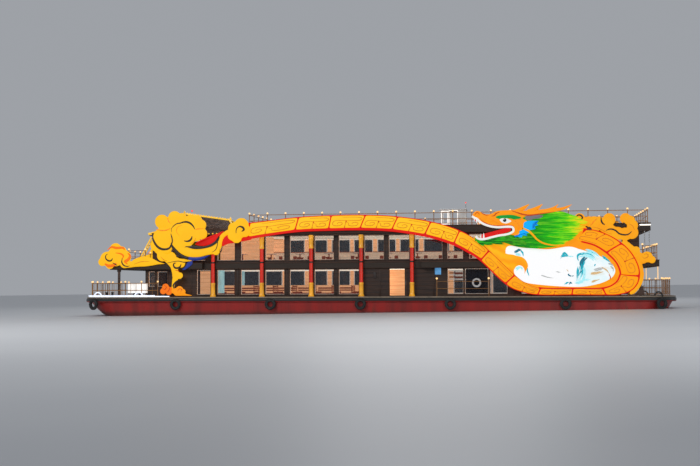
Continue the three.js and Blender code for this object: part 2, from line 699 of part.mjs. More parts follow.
addPair("benches", benches(), "bench_wood");
addPair("tables", tables(), "bench_wood");

// The dragon and its clouds; outlines are x and height above the main deck

const BODY_LINE = [
  [-9.7, 5.25, 0.66], [-8.3, 5.43, 0.6], [-5.5, 5.75, 0.58], [-2.9, 5.84, 0.6], [-0.3, 5.85, 0.6],
  [2.3, 5.7, 0.6], [5.0, 5.24, 0.62], [6.9, 4.64, 0.62], [8.1, 4.01, 0.6], [9.2, 3.19, 0.52],
  [11.1, 1.37, 0.5], [12.2, 0.72, 0.36], [13.4, 0.42, 0.26], [15.9, 0.4, 0.24], [18.1, 0.4, 0.26],
  [19.15, 0.6, 0.46], [19.85, 1.08, 0.72], [20.1, 1.8, 0.74], [19.75, 2.8, 0.7], [18.95, 3.68, 0.66],
  [17.8, 4.38, 0.58], [16.6, 4.69, 0.52],
];
const BODY_STEPS = 58;

// From the nose over the brow and the antlers, round the cheek, and back along both lips
const HEAD_OUTLINE = [
  [8.29, 6.1], [8.36, 6.43], [8.56, 6.61], [8.83, 6.61], [9.19, 6.34], [9.79, 6.41], [10.1, 6.6],
  [11.19, 6.67], [11.89, 6.66], [12.2, 6.9], [12.6, 7.12], [12.66, 7.04], [12.45, 6.8], [12.85, 6.66],
  [13.2, 6.92], [13.6, 7.12], [13.66, 7.04], [13.45, 6.8], [14.23, 6.7], [14.5, 6.88], [14.8, 7.1],
  [14.87, 7.02], [14.7, 6.8], [15.2, 6.88], [15.82, 7.08], [15.88, 6.98], [15.1, 6.62], [14.15, 6.4],
  [12.41, 6.2], [12.06, 5.97], [12.45, 5.8], [12.3, 5.4], [12.05, 5.05], [11.87, 4.8], [11.6, 4.62],
  [10.91, 4.7], [10.3, 4.64], [9.77, 4.48], [9.25, 4.34], [8.81, 4.38], [8.57, 4.62], [8.6, 4.76],
  [9.29, 4.88], [10.3, 5.06], [11.1, 5.18], [10.8, 5.29], [10.3, 5.24], [9.8, 5.3], [9.26, 5.46],
  [8.8, 5.75], [8.5, 5.95],
];

const MANE_OUTLINE = [
  [11.86, 6.2], [13.53, 6.41], [14.58, 6.47], [15.56, 6.31], [16.08, 6.07], [17.05, 5.68], [16.45, 5.53],
  [16.82, 5.22], [16.14, 5.15], [16.07, 4.85], [15.39, 4.63], [15.83, 4.32], [14.93, 4.25], [15.3, 3.9],
  [14.33, 3.91], [13.95, 3.69], [12.66, 3.66], [11.53, 3.82], [10.39, 4.3], [9.4, 4.15], [9.01, 3.85],
  [8.63, 4.31], [8.6, 4.45], [9.63, 4.6], [11.0, 4.95], [11.75, 5.4],
];

const SCREEN_OUTLINE = [
  [10.73, 3.45], [11.07, 3.94], [11.53, 3.9], [11.91, 3.74], [14.4, 3.72], [15.68, 3.86], [17.17, 3.54],
  [18.5, 2.78], [19.04, 1.86], [18.25, 1.11], [16.39, 0.7], [14.14, 0.82], [12.11, 1.37], [11.4, 1.98],
  [11.82, 2.44],
];

const FIELD_OUTLINE = [
  [8.4, 4.6], [9.24, 3.5], [10.38, 2.4], [11.51, 1.3], [12.63, 0.6], [13.76, 0.45], [15.86, 0.45],
  [17.87, 0.45], [19.3, 1.18], [19.7, 1.86], [19.2, 3.0], [17.6, 4.2], [16.8, 5.25], [16.3, 5.6],
  [15.8, 5.75], [14.9, 5.6], [13.8, 4.6], [11.91, 4.1], [9.6, 4.4],
];

function scaledAbout(outline, factor) {
  const [sumX, sumH] = outline.reduce(([sx, sh], [x, h]) => [sx + x, sh + h]);
  const [midX, midH] = [sumX / outline.length, sumH / outline.length];
  return outline.map(([x, h]) => [midX + (x - midX) * factor, midH + (h - midH) * factor]);
}

const bodyClearance = band(BODY_LINE, BODY_STEPS, [SIDE_FACE - 0.5, 6], 2 * GAP);
const screen = panel(SCREEN_OUTLINE, BACK).subtract(bodyClearance);
const screenClearance = panel(scaledAbout(SCREEN_OUTLINE, 1.004), [SIDE_FACE - 0.5, 6]);
const field = cut(panel(FIELD_OUTLINE, BACK), [bodyClearance, screenClearance]);

addPair("dragon_body", band(BODY_LINE, BODY_STEPS, BODY), "lantern_yellow");
addPair("dragon_head", panel(HEAD_OUTLINE, HEAD), "lantern_white");
addPair("dragon_mane", panel(MANE_OUTLINE, FRONT), "lantern_green");
addPair("screen", screen, "lantern_white");
addPair("field", field, "lantern_orange");

const BIG_CLOUD = [
  [-16.65, 6.15, 0.55], [-15.6, 6.5, 0.48], [-14.9, 6.35, 0.45], [-14.1, 6.2, 0.5], [-13.4, 5.95, 0.55],
  [-13.15, 5.35, 0.55], [-16.45, 4.87, 0.88], [-14.65, 5.0, 1.1], [-15.6, 5.7, 0.9], [-14.3, 5.7, 0.8],
  [-17.1, 4.2, 0.5], [-15.6, 4.5, 0.9],
];
const RIBBON = [
  [-16.2, 3.95, 0.15], [-15.4, 3.9, 0.3], [-14.6, 3.55, 0.32], [-13.6, 3.4, 0.28], [-12.8, 3.5, 0.25],
  [-12.3, 3.85, 0.25], [-12.0, 4.5, 0.22], [-11.6, 5.1, 0.2], [-11.15, 5.3, 0.12],
];
const LEG_CLOUD = [
  [-16.5, 3.5, 0.35], [-15.7, 2.95, 0.6], [-15.5, 2.2, 0.55], [-15.45, 1.6, 0.48], [-15.8, 1.1, 0.3],
  [-15.95, 0.5, 0.3],
];
const FLAMES = [
  [-16.8, 0.35, 0.12], [-16.2, 0.45, 0.32], [-15.4, 0.4, 0.28], [-14.7, 0.3, 0.18], [-14.2, 0.2, 0.06],
];
const BOW_CLOUD = [[-20.9, 3.4, 1.0], [-20.0, 3.6, 0.8], [-19.8, 3.0, 0.65]];
const SWOOSH = [
  [-20.0, 2.9, 0.5], [-19.0, 2.9, 0.35], [-18.2, 2.95, 0.33], [-17.3, 3.0, 0.26], [-16.75, 2.8, 0.08],
];
const BLOSSOM = [[-10.1, 5.7, 0.7], [-9.75, 5.35, 0.65], [-10.35, 4.75, 0.55], [-10.7, 5.25, 0.5]];
const STERN_LOBES = [
  [16.5, 6.1, 0.33], [17.1, 5.9, 0.38], [17.75, 5.85, 0.38], [18.5, 5.85, 0.52], [19.3, 5.6, 0.5],
  [19.8, 6.2, 0.45], [20.2, 5.5, 0.55], [20.2, 4.85, 0.55], [19.6, 4.9, 0.6], [20.4, 3.55, 0.42],
  [21.2, 3.1, 0.42], [21.6, 2.65, 0.38], [17.5, 5.35, 0.45], [18.5, 5.25, 0.5],
];
const STERN_RIM = [
  [19.6, 4.2, 0.24], [20.3, 3.6, 0.24], [20.62, 3.0, 0.22], [20.85, 2.4, 0.2], [20.96, 1.85, 0.2],
  [20.92, 1.3, 0.2], [20.68, 0.78, 0.2], [20.36, 0.42, 0.2],
];

// A cloud of lobes and a band; widened, it is the space that its neighbours leave free
function cloud(lobeRows, bandRows, depth, widen = 0) {
  return lobes(lobeRows, depth, widen).add(band(bandRows, 3 * bandRows.length, depth, widen));
}

const clearThrough = [SIDE_FACE - 0.5, SIDE_FACE + 1];
const bigCloudClearance = cloud(BIG_CLOUD, RIBBON, clearThrough, 2 * GAP);
const bowCloudClearance = cloud(BOW_CLOUD, SWOOSH, clearThrough, 2 * GAP);
addPair("big_cloud", cloud(BIG_CLOUD, RIBBON, BODY), "lantern_yellow");
addPair("leg_cloud", cut(
  band(LEG_CLOUD, 14, BACK).add(band(FLAMES, 10, BACK)), [bigCloudClearance, bowCloudClearance],
), "lantern_yellow");
addPair("bow_cloud", cloud(BOW_CLOUD, SWOOSH, BODY).subtract(bigCloudClearance), "lantern_yellow");
addPair("blossom_cloud", lobes(BLOSSOM, FRONT), "lantern_yellow");
addPair("stern_clouds", cloud(STERN_LOBES, STERN_RIM, BODY).subtract(bodyClearance), "lantern_white");

export default boat;
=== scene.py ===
"""The looks of a river cruise boat with a lantern dragon along each side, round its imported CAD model.

Lengths are metres of the full-size boat; Piece.place halves them, because the model is 1:2.
X runs from bow (negative) to stern, Y from port (negative) to starboard, Z up from the flat bottom.
What is drawn in side view is given as x and height above the main deck, on the starboard side, and
the port side is its mirror image.
"""

import math
import random

import bmesh
import bpy
from mathutils import Matrix, Vector
from mathutils.bvhtree import BVHTree
from mathutils.geometry import interpolate_bezier


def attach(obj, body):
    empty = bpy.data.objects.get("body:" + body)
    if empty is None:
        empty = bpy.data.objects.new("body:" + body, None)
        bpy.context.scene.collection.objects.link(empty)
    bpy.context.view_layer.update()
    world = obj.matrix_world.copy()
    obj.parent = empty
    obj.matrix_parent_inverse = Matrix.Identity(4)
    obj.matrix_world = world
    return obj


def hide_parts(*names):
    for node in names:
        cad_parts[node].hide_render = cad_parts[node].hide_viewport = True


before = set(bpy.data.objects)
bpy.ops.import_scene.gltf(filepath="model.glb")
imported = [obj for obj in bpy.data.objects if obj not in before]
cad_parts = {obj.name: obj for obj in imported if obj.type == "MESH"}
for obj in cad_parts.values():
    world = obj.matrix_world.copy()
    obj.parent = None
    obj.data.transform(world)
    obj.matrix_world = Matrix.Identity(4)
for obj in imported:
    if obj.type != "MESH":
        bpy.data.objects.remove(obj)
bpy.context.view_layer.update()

MODEL_SCALE = 0.5
DECK, UPPER, SUN = 2.4, 5.18, 8.0
UPPER_UNDERSIDE, SUN_UNDERSIDE = DECK + 2.27, DECK + 5.0
HALF_LENGTH, HALF_BEAM = 24.0, 5.2
END_ROUNDING, END_POWER = 2.6, 0.8
HULL_TOP, BELT_BOTTOM = 2.33, 2.02
SIDE_FACE, WALL_FACE, WALL = 4.95, 4.4, 0.12
LOWER_BOW, LOWER_STERN = -18.2, 19.5
UPPER_BOW, UPPER_STERN = -17.6, 20.9
SLAB_BOW, SLAB_STERN = -21.0, 22.3
SUN_BOW, SUN_STERN = -10.8, 21.7
COLUMNS, COLUMN_Y = [-12.46, -8.46, -4.46, -0.46, 3.54], 4.72
ON_DECK, ON_UPPER = 2.402, 5.182
FULL_TURN, QUARTER_TURN = 2 * math.pi, math.pi / 2
UPWARD, SIDEWAYS, LENGTHWAYS = (0, 0, 1), (0, 1, 0), (1, 0, 0)
GRIME = (0.05, 0.035, 0.02)


# Finishes

class Value:
    """A number that varies over a surface; arithmetic on it adds Math nodes."""

    def __init__(self, finish, socket):
        self.finish, self.socket = finish, socket

    def _math(self, operation, *terms):
        return self.finish.node("ShaderNodeMath", {"operation": operation}, dict(enumerate(terms)))

    def __add__(self, other):
        return self._math("ADD", self, other)

    def __sub__(self, other):
        return self._math("SUBTRACT", self, other)

    def __rsub__(self, other):
        return self._math("SUBTRACT", other, self)

    def __mul__(self, other):
        return self._math("MULTIPLY", self, other)

    def __truediv__(self, other):
        return self._math("DIVIDE", self, other)

    def __mod__(self, other):
        return self._math("WRAP", self, other, 0.0)

    def __abs__(self):
        return self._math("ABSOLUTE", self)

    def between(self, low, high):
        """0 below low, 1 above high, and a smooth step between."""
        return self.finish.node(
            "ShaderNodeMapRange", {"interpolation_type": "SMOOTHSTEP"},
            {"Value": self, "From Min": low, "From Max": high},
        )

    def ramp(self, *stops):
        """A colour for each position, blended between."""
        return self.finish.node("ShaderNodeValToRGB", {"stops": stops}, {"Fac": self})


class Finish:
    """A surface finish on the Principled shader, its patterns in full-size metres on the object."""

    def __init__(self, name, **constants):
        self.material = bpy.data.materials.new(name)
        self.material.use_nodes = True
        self.tree = self.material.node_tree
        self.shader = self.tree.nodes["Principled BSDF"]
        for socket, value in constants.items():
            self.wear(socket, value)
        spot = self.node("ShaderNodeTexCoord", {}, {}, "Object")
        self.spot = self.node("ShaderNodeMapping", {}, {"Vector": spot, "Scale": (1 / MODEL_SCALE,) * 3})
        apart = [self.node("ShaderNodeSeparateXYZ", {}, {"Vector": self.spot}, axis) for axis in "XYZ"]
        self.x, self.y, self.z = apart

    def node(self, kind, settings, inputs, output=0):
        """The output of a new node, its settings set before the values or links of its sockets."""
        made = self.tree.nodes.new(kind)
        for name, value in settings.items():
            if name == "stops":
                while len(made.color_ramp.elements) < len(value):
                    made.color_ramp.elements.new(1.0)
                for element, (position, colour) in zip(made.color_ramp.elements, value):
                    element.position, element.color = position, (*colour, 1.0)
            else:
                setattr(made, name, value)
        for name, value in inputs.items():
            if isinstance(value, Value):
                self.tree.links.new(value.socket, made.inputs[name])
            else:
                made.inputs[name].default_value = value
        return Value(self, made.outputs[output])

    def noise(self, scale, detail=4.0, stretch=(1, 1, 1)):
        """Noise that varies faster along an axis whose stretch is larger."""
        spot = self.node("ShaderNodeMapping", {}, {"Vector": self.spot, "Scale": stretch})
        return self.node("ShaderNodeTexNoise", {}, {"Vector": spot, "Scale": scale, "Detail": detail})

    def mix(self, share, first, second):
        """The first colour where share is 0 and the second where it is 1."""
        return self.node("ShaderNodeMix", {"data_type": "RGBA"}, {
            0: share, 6: first if isinstance(first, Value) else (*first, 1.0),
            7: second if isinstance(second, Value) else (*second, 1.0),
        }, 2)

    def wear(self, socket, value):
        """Sets a socket of the shader, such as base_color, to a constant or to what varies."""
        target = self.shader.inputs[socket.replace("_", " ").title().replace("Ior", "IOR")]
        if isinstance(value, Value):
            self.tree.links.new(value.socket, target)
        else:
            target.default_value = (*value, 1.0) if isinstance(value, tuple) else value

    def raise_by(self, height, distance, strength=1.0):
        """Bumps the surface by height, which is distance full-size metres deep at 1."""
        bump = self.node("ShaderNodeBump", {}, {
            "Height": height, "Distance": distance * MODEL_SCALE, "Strength": strength,
        })
        self.wear("normal", bump)

    def paint(self, colour, glow=0.0, body=1.0):
        """Sets the colour; where the finish glows, light of that colour shines from behind a darker body."""
        self.wear("base_color", colour if body == 1.0 else self.mix(1 - body, colour, (0.0, 0.0, 0.0)))
        if glow:
            self.wear("emission_color", colour)
            self.wear("emission_strength", glow)


def lantern_silk(name, bright, deep, glow, lean=0.0):
    """Stretched silk over wire, lit from inside, with shade painted in its creases and away from the lamps.
    """
    silk = Finish(name, roughness=0.6, specular_ior_level=0.25)
    # Painted shade in the creases and painted lamplight in pools round the lamps; lean deepens the tone
    # towards the stern.
    crease_shade = silk.node("ShaderNodeNewGeometry", {}, {}, "Pointiness").between(0.495, 0.43)
    lamps = silk.noise(0.9, 2.0).between(0.35, 0.7)
    shade = (crease_shade * 0.9 + (1 - lamps) * 0.22 + silk.x.between(4.0, 14.0) * lean).between(0.0, 1.0)
    silk.paint(silk.mix(shade, bright, deep), glow, 0.4)
    weave = silk.noise(60.0, 2.0, (1, 1, 3)) * 0.4 + silk.noise(2.5, 3.0)
    silk.raise_by(weave, 0.02, 0.35)
    return silk.material


def ink(name, colour, glow=0.0):
    """Painted outlines, and painted shade in creases: a brushed line, a little uneven."""
    line = Finish(name, roughness=0.5)
    worn = line.noise(14.0, 5.0).between(0.3, 0.8)
    line.paint(line.mix(worn, colour, tuple(0.55 * part for part in colour)), glow)
    line.raise_by(line.noise(40.0), 0.004)
    return line.material


def gloss_paint(name, colour, roughness, glow=0.0):
    """Brushed gloss paint with faint streaks and grime in patches."""
    paint = Finish(name, coat_weight=0.3, coat_roughness=0.2)
    streaks = paint.noise(3.0, 6.0, (1, 1, 0.15))
    patches = paint.noise(1.3, 5.0).between(0.55, 0.8)
    tone = paint.mix(streaks.between(0.35, 0.75), colour, tuple(0.72 * part for part in colour))
    paint.paint(paint.mix(patches * 0.35, tone, GRIME), glow)
    paint.wear("roughness", patches * 0.3 + roughness)
    paint.raise_by(streaks * 0.6 + paint.noise(30.0) * 0.4, 0.006)
    return paint.material


def hull_paint():
    """Red oxide over steel plates, with a black strake at the deck edge and scum at the water."""
    paint = Finish("hull_red_oxide")
    streaks = paint.noise(1.2, 6.0, (1, 1, 0.08)).between(0.4, 0.75)
    plates = (abs(paint.x % 3.0 - 1.5) - 1.47).between(0.0, 0.02)
    red = paint.mix(streaks, (0.36, 0.010, 0.006), (0.20, 0.009, 0.006))
    scum = (paint.noise(4.0, 5.0) * 0.25 + paint.z * -1.0).between(-1.35, -0.95)
    red = paint.mix(scum * 0.75, red, (0.035, 0.022, 0.015))
    rust = paint.noise(2.0, 8.0, (1, 1, 0.2)).between(0.62, 0.75)
    red = paint.mix(rust * 0.5, red, (0.12, 0.03, 0.008))
    strake = (paint.z + paint.noise(6.0) * 0.02).between(2.10, 2.13)
    paint.paint(paint.mix(strake, red, (0.012, 0.011, 0.011)))
    paint.wear("roughness", scum * 0.3 + streaks * 0.15 + 0.4)
    paint.raise_by(paint.noise(0.8, 3.0) * 0.5 + plates * 0.5, 0.02)
    return paint.material


def cabin_wood(name, light, dark, roughness=0.45, glow=0.0):
    """Stained boards with their grain along the boat and a joint every third of a metre."""
    wood = Finish(name)
    grain = wood.noise(6.0, 8.0, (0.12, 1, 1.8))
    joint = (abs(wood.z / 0.33 % 1.0 - 0.5) - 0.46).between(0.0, 0.03)
    tone = wood.mix(grain.between(0.3, 0.7), dark, light)
    # A glow, where given, is the lit rooms' lamplight painted on the boards.
    wood.paint(wood.mix(joint * 0.7, tone, tuple(0.3 * part for part in dark)), glow)
    wood.wear("roughness", grain * 0.25 + roughness)
    wood.raise_by(grain * 0.4 - joint, 0.008)
    return wood.material


def deck_boards(name, light, dark, *tops):
    """Planks along the boat, with dark seams and trodden paler, on decks whose tops are at these heights."""
    planks = Finish(name)
    seam = (abs(planks.y / 0.16 % 1.0 - 0.5) - 0.45).between(0.0, 0.04)
    grain = planks.noise(9.0, 6.0, (0.08, 1, 1))
    trodden = planks.noise(0.5, 3.0).between(0.4, 0.7)
    tone = planks.mix((grain * 0.6 + trodden * 0.4).between(0.3, 0.7), dark, light)
    tone = planks.mix(seam, tone, (0.01, 0.008, 0.006))
    fascia = 1
    for top in tops:
        fascia = fascia - planks.z.between(top - 0.04, top - 0.02) * planks.z.between(top + 0.2, top + 0.1)
    planks.paint(planks.mix(fascia, tone, tuple(0.25 * part for part in dark)))
    planks.wear("roughness", grain * 0.3 + 0.5)
    planks.raise_by(grain * 0.3 - seam, 0.008)
    return planks.material


def rubber():
    """Black rubber with dust in patches."""
    black = Finish("fender_rubber")
    dust = black.noise(5.0, 6.0).between(0.5, 0.8)
    black.paint(black.mix(dust, (0.012, 0.012, 0.012), (0.05, 0.047, 0.042)))
    black.wear("roughness", dust * 0.2 + 0.65)
    black.raise_by(black.noise(25.0, 5.0), 0.01)
    return black.material


def worn_metal(name, light, dark, roughness):
    """Bare metal, darker and rougher where its patina is."""
    metal = Finish(name, metallic=1.0)
    patina = metal.noise(7.0, 6.0).between(0.4, 0.7)
    metal.paint(metal.mix(patina, light, dark))
    metal.wear("roughness", patina * 0.25 + roughness)
    metal.raise_by(metal.noise(35.0, 4.0), 0.003)
    return metal.material


def roof_tile():
    """Glazed brown tiles, each a little different, with the courses showing as steps."""
    tile = Finish("glazed_roof_tile", specular_ior_level=0.2)
    course = tile.z * 3.2 % 1.0
    own = tile.node("ShaderNodeTexVoronoi", {}, {"Vector": tile.spot, "Scale": 3.3}, "Distance")
    tone = tile.mix(own.between(0.1, 0.9), (0.13, 0.055, 0.022), (0.05, 0.02, 0.009))
    tile.paint(tile.mix(course.between(0.85, 0.97) * 0.8, tone, (0.006, 0.004, 0.003)))
    tile.wear("roughness", own * 0.3 + 0.45)
    tile.raise_by(course, 0.03)
    return tile.material


def pane_glass():
    """Window glass, a little smeared, that lets the lit rooms show."""
    glass = Finish("window_pane", base_color=(0.012, 0.014, 0.022), alpha=0.5, specular_ior_level=0.3)
    glass.wear("roughness", glass.noise(1.5, 4.0).between(0.4, 0.9) * 0.12 + 0.03)
    return glass.material


def lamp_glass(name, colour, glow):
    """Frosted glass lit from inside, its tone a little uneven."""
    globe = Finish(name, roughness=0.3)
    frost = globe.noise(20.0, 3.0)
    globe.paint(globe.mix(frost, colour, tuple(0.8 * part for part in colour)), glow)
    globe.raise_by(frost, 0.002)
    return globe.material


def screen_silk():
    """White silk with a pale wash of cyan and of sand towards its stern end."""
    silk = Finish("painted_screen_silk", roughness=0.5)
    drift = silk.noise(0.9, 4.0)
    wash = (drift + silk.x.between(14.5, 17.0) * 0.35).between(0.62, 1.0)
    tone = silk.mix(wash * 0.5, (0.93, 0.93, 0.94), (0.55, 0.86, 0.90))
    sand = silk.noise(1.7, 5.0, (0.6, 1, 1.6)).between(0.55, 0.7) * silk.x.between(16.3, 17.6)
    silk.paint(silk.mix(sand * 0.3, tone, (0.72, 0.60, 0.42)), 0.8, 0.4)
    silk.raise_by(silk.noise(60.0, 2.0, (1, 1, 3)), 0.004)
    return silk.material


def mane_silk():
    """Green silk drawn out in streaks, through lime to orange at the tips towards the stern."""
    silk = Finish("mane_green_silk", roughness=0.55, specular_ior_level=0.25)
    streak = silk.noise(1.5, 6.0, (0.35, 1, 3.2))
    fine = silk.noise(5.0, 4.0, (0.25, 1, 3.0))
    strand = silk.noise(7.0, 4.0, (0.12, 1, 2.4))
    reach = silk.x * 0.145 - 1.80 + (streak - 0.5) * 0.9 + (fine - 0.5) * 0.5
    tone = reach.between(-0.1, 1.0).ramp(
        (0.0, (0.003, 0.20, 0.008)), (0.14, (0.008, 0.34, 0.005)), (0.40, (0.02, 0.50, 0.003)),
        (0.58, (0.22, 0.66, 0.003)), (0.72, (0.80, 0.62, 0.005)), (0.88, (0.95, 0.33, 0.003)),
    )
    # Painted highlights in lime streaks along some strands, and painted shade in dark green along others.
    tone = silk.mix(strand.between(0.5, 0.68) * 0.55, tone, (0.30, 0.78, 0.02))
    silk.paint(silk.mix(strand.between(0.46, 0.32) * 0.6, tone, (0.002, 0.13, 0.004)), 0.85, 0.4)
    silk.raise_by(streak, 0.03)
    return silk.material


def beard_silk():
    """Dark green silk in locks, with brighter strands, more of them towards the mane."""
    silk = Finish("beard_green_silk", roughness=0.55, specular_ior_level=0.25)
    strand = silk.noise(6.0, 4.0, (0.3, 1, 2.2))
    tone = silk.mix(strand.between(0.38, 0.62), (0.002, 0.10, 0.008), (0.02, 0.40, 0.01))
    silk.paint(silk.mix(silk.x.between(10.0, 13.5) * 0.5, tone, (0.14, 0.48, 0.01)), 0.75, 0.4)
    silk.raise_by(strand, 0.02)
    return silk.material


def field_silk():
    """Yellow silk behind the dragon's neck and orange behind its loop, with slow flowing bands."""
    silk = Finish("field_orange_silk", roughness=0.6, specular_ior_level=0.25)
    bend = silk.noise(0.5, 2.0) * 3.0
    flow = (abs((silk.x * 0.55 + silk.z * 0.9 + bend) % 1.0 - 0.5) * 2.0).between(0.1, 0.9)
    tone = silk.mix(silk.x.between(9.5, 13.5), (0.88, 0.44, 0.006), (0.88, 0.31, 0.003))
    silk.paint(silk.mix(flow * 0.6, tone, (0.86, 0.25, 0.003)), 0.9, 0.4)
    silk.raise_by(flow, 0.03)
    return silk.material


# Each silk's second colour is its painted shade, for the creases and away from the lamps, and with lean its
# deeper tone towards the stern.
YELLOW = lantern_silk("cloud_yellow_silk", (0.86, 0.45, 0.006), (0.82, 0.27, 0.003), 0.92, 0.5)
PLATE = lantern_silk("plate_yellow_silk", (0.88, 0.48, 0.010), (0.88, 0.32, 0.002), 0.92, 1.0)
AMBER = lantern_silk("head_amber_silk", (0.88, 0.29, 0.005), (0.78, 0.15, 0.003), 0.88)
FLAME = lantern_silk("flame_orange_silk", (0.86, 0.17, 0.006), (0.66, 0.05, 0.004), 0.85)
RED = lantern_silk("lantern_red_silk", (0.66, 0.008, 0.005), (0.38, 0.005, 0.003), 0.85)
WHITE = lantern_silk("lip_white_silk", (0.88, 0.88, 0.85), (0.55, 0.57, 0.52), 0.75)
AZURE = lantern_silk("cheek_blue_silk", (0.002, 0.40, 0.92), (0.002, 0.17, 0.55), 0.85)
FERN = lantern_silk("brow_green_silk", (0.008, 0.34, 0.04), (0.003, 0.14, 0.02), 0.75)
SLATE = lantern_silk("temple_grey_silk", (0.30, 0.29, 0.32), (0.12, 0.11, 0.13), 0.4)
MANE, FIELD, SCREEN = mane_silk(), field_silk(), screen_silk()
# Black for outlines and black parts, and black put where shade falls on the clouds.
BLACK_AND_SHADE = ink("outline_and_shade_black", (0.035, 0.022, 0.018))
OCHRE = ink("scroll_ochre", (0.62, 0.19, 0.003), 0.6)
# Painted shade in the creases between lobes, on the clouds and on the head.
CREASE_SHADE = ink("cloud_crease_shade_orange", (0.76, 0.20, 0.003), 0.75)
RUST = ink("contour_rust_red", (0.50, 0.045, 0.003), 0.6)
INDIGO = ink("under_edge_blue", (0.008, 0.03, 0.26), 0.5)
DEEP = ink("brush_deep_teal", (0.0, 0.16, 0.24), 0.6)
TEAL = ink("brush_teal", (0.0, 0.40, 0.50), 0.65)
CYAN = ink("brush_light_cyan", (0.34, 0.74, 0.80), 0.75)
SAND = ink("brush_sand", (0.66, 0.44, 0.20), 0.6)
ASH = ink("brush_ash_grey", (0.42, 0.43, 0.42), 0.6)
HULL, RUBBER = hull_paint(), rubber()
DECK_GREY = deck_boards("main_deck_boards", (0.13, 0.11, 0.09), (0.06, 0.05, 0.042), DECK)
SUN_BOARDS = deck_boards("sun_deck_boards", (0.22, 0.13, 0.07), (0.11, 0.06, 0.03), UPPER, SUN)
CABIN = cabin_wood("cabin_dark_wood", (0.055, 0.024, 0.012), (0.022, 0.010, 0.006))
TRIM = cabin_wood("trim_brown_wood", (0.085, 0.035, 0.016), (0.035, 0.015, 0.008), 0.35)
# The glow of these linings, panels, ceilings and seats is painted lamplight of the lit rooms.
LINING = cabin_wood("saloon_peach_lining_painted_lamplight", (0.86, 0.46, 0.24), (0.72, 0.36, 0.17), 0.5, 2.4)
CREAM = cabin_wood("saloon_cream_panel_painted_lamplight", (0.80, 0.62, 0.46), (0.66, 0.48, 0.34), 0.5, 1.7)
LOBBY = cabin_wood("lobby_panel_painted_lamplight", (0.78, 0.44, 0.22), (0.64, 0.33, 0.15), 0.5, 0.62)
CEILING = cabin_wood("saloon_ceiling_painted_lamplight", (0.60, 0.42, 0.25), (0.45, 0.29, 0.16), 0.5, 0.8)
SEAT = cabin_wood("seat_varnish_painted_lamplight", (0.34, 0.075, 0.03), (0.20, 0.04, 0.016), 0.3, 1.1)
# The glow of the columns' red and gold and of the railing bronze is painted light.
COLUMN = gloss_paint("column_red_paint_painted_light", (0.72, 0.022, 0.006), 0.25, 0.28)
GILT = gloss_paint("column_gold_paint_painted_light", (0.95, 0.42, 0.02), 0.3, 0.30)
RAIL = gloss_paint("railing_bronze_paint_painted_light", (0.30, 0.13, 0.028), 0.35, 0.12)
PALE = gloss_paint("white_gloss_paint", (0.80, 0.79, 0.76), 0.3)
TOE = gloss_paint("toe_rail_beige_paint", (0.26, 0.20, 0.14), 0.45)
IRON = worn_metal("bitt_iron", (0.10, 0.10, 0.10), (0.04, 0.035, 0.03), 0.5)
BRONZE = worn_metal("propeller_bronze", (0.62, 0.38, 0.14), (0.28, 0.2, 0.1), 0.3)
STEEL = worn_metal("handle_steel", (0.62, 0.62, 0.60), (0.4, 0.38, 0.36), 0.25)
TILE, GLASS = roof_tile(), pane_glass()
# The ridge glaze's glow is painted light, on the roof ridges and the ladder stringers.
RIDGE = gloss_paint("ridge_yellow_glaze_painted_light", (0.95, 0.55, 0.03), 0.25, 0.55)
LAMP = lamp_glass("globe_lamp_glass", (1.0, 0.62, 0.26), 1.1)
STRIP = lamp_glass("light_strip", (1.0, 0.92, 0.78), 3.0)
POSTER = gloss_paint("poster_pale_blue", (0.46, 0.84, 0.92), 0.4, 1.5)
NOTICE = gloss_paint("notice_board_blue", (0.10, 0.34, 0.66), 0.3, 0.6)
# The white frames' glow is painted light, as if lit by the rooms' lamps.
FRAME = gloss_paint("saloon_white_frame_painted_light", (0.85, 0.80, 0.74), 0.35, 1.2)
BEACON = lamp_glass("beacon_red_glass", (0.9, 0.03, 0.02), 1.2)


# Shapes: each returns a new mesh in full-size metres

def block(x, y, z, edge=0.012):
    """A box between three pairs of limits, its edges eased."""
    middle = [(low + high) / 2 for low, high in (x, y, z)]
    size = [high - low for low, high in (x, y, z)]
    shape = bmesh.new()
    bmesh.ops.create_cube(shape, size=1.0, matrix=Matrix.LocRotScale(middle, None, size))
    bmesh.ops.bevel(shape, geom=shape.edges[:], offset=min(edge, 0.3 * min(size)), segments=2, profile=0.5,
                    affect="EDGES", material=-1)
    return shape


def turned(profile, steps=24):
    """A closed solid turned about Z from rows of radius and height."""
    shape = bmesh.new()
    spots = [shape.verts.new((radius, 0, height)) for radius, height in profile]
    edges = [shape.edges.new(ends) for ends in zip(spots, spots[1:])]
    bmesh.ops.spin(shape, geom=spots + edges, cent=(0, 0, 0), axis=(0, 0, 1), angle=FULL_TURN, steps=steps,
                   use_merge=True)
    bmesh.ops.remove_doubles(shape, verts=shape.verts[:], dist=1e-5)
    bmesh.ops.recalc_face_normals(shape, faces=shape.faces[:])
    return shape


def ball(radius, squash=1.0, steps=14):
    """A ball, perhaps narrower across the boat."""
    shape = bmesh.new()
    bmesh.ops.create_uvsphere(shape, u_segments=steps, v_segments=steps // 2 + 2, radius=radius,
                              matrix=Matrix.Diagonal((1, squash, 1, 1)))
    return shape


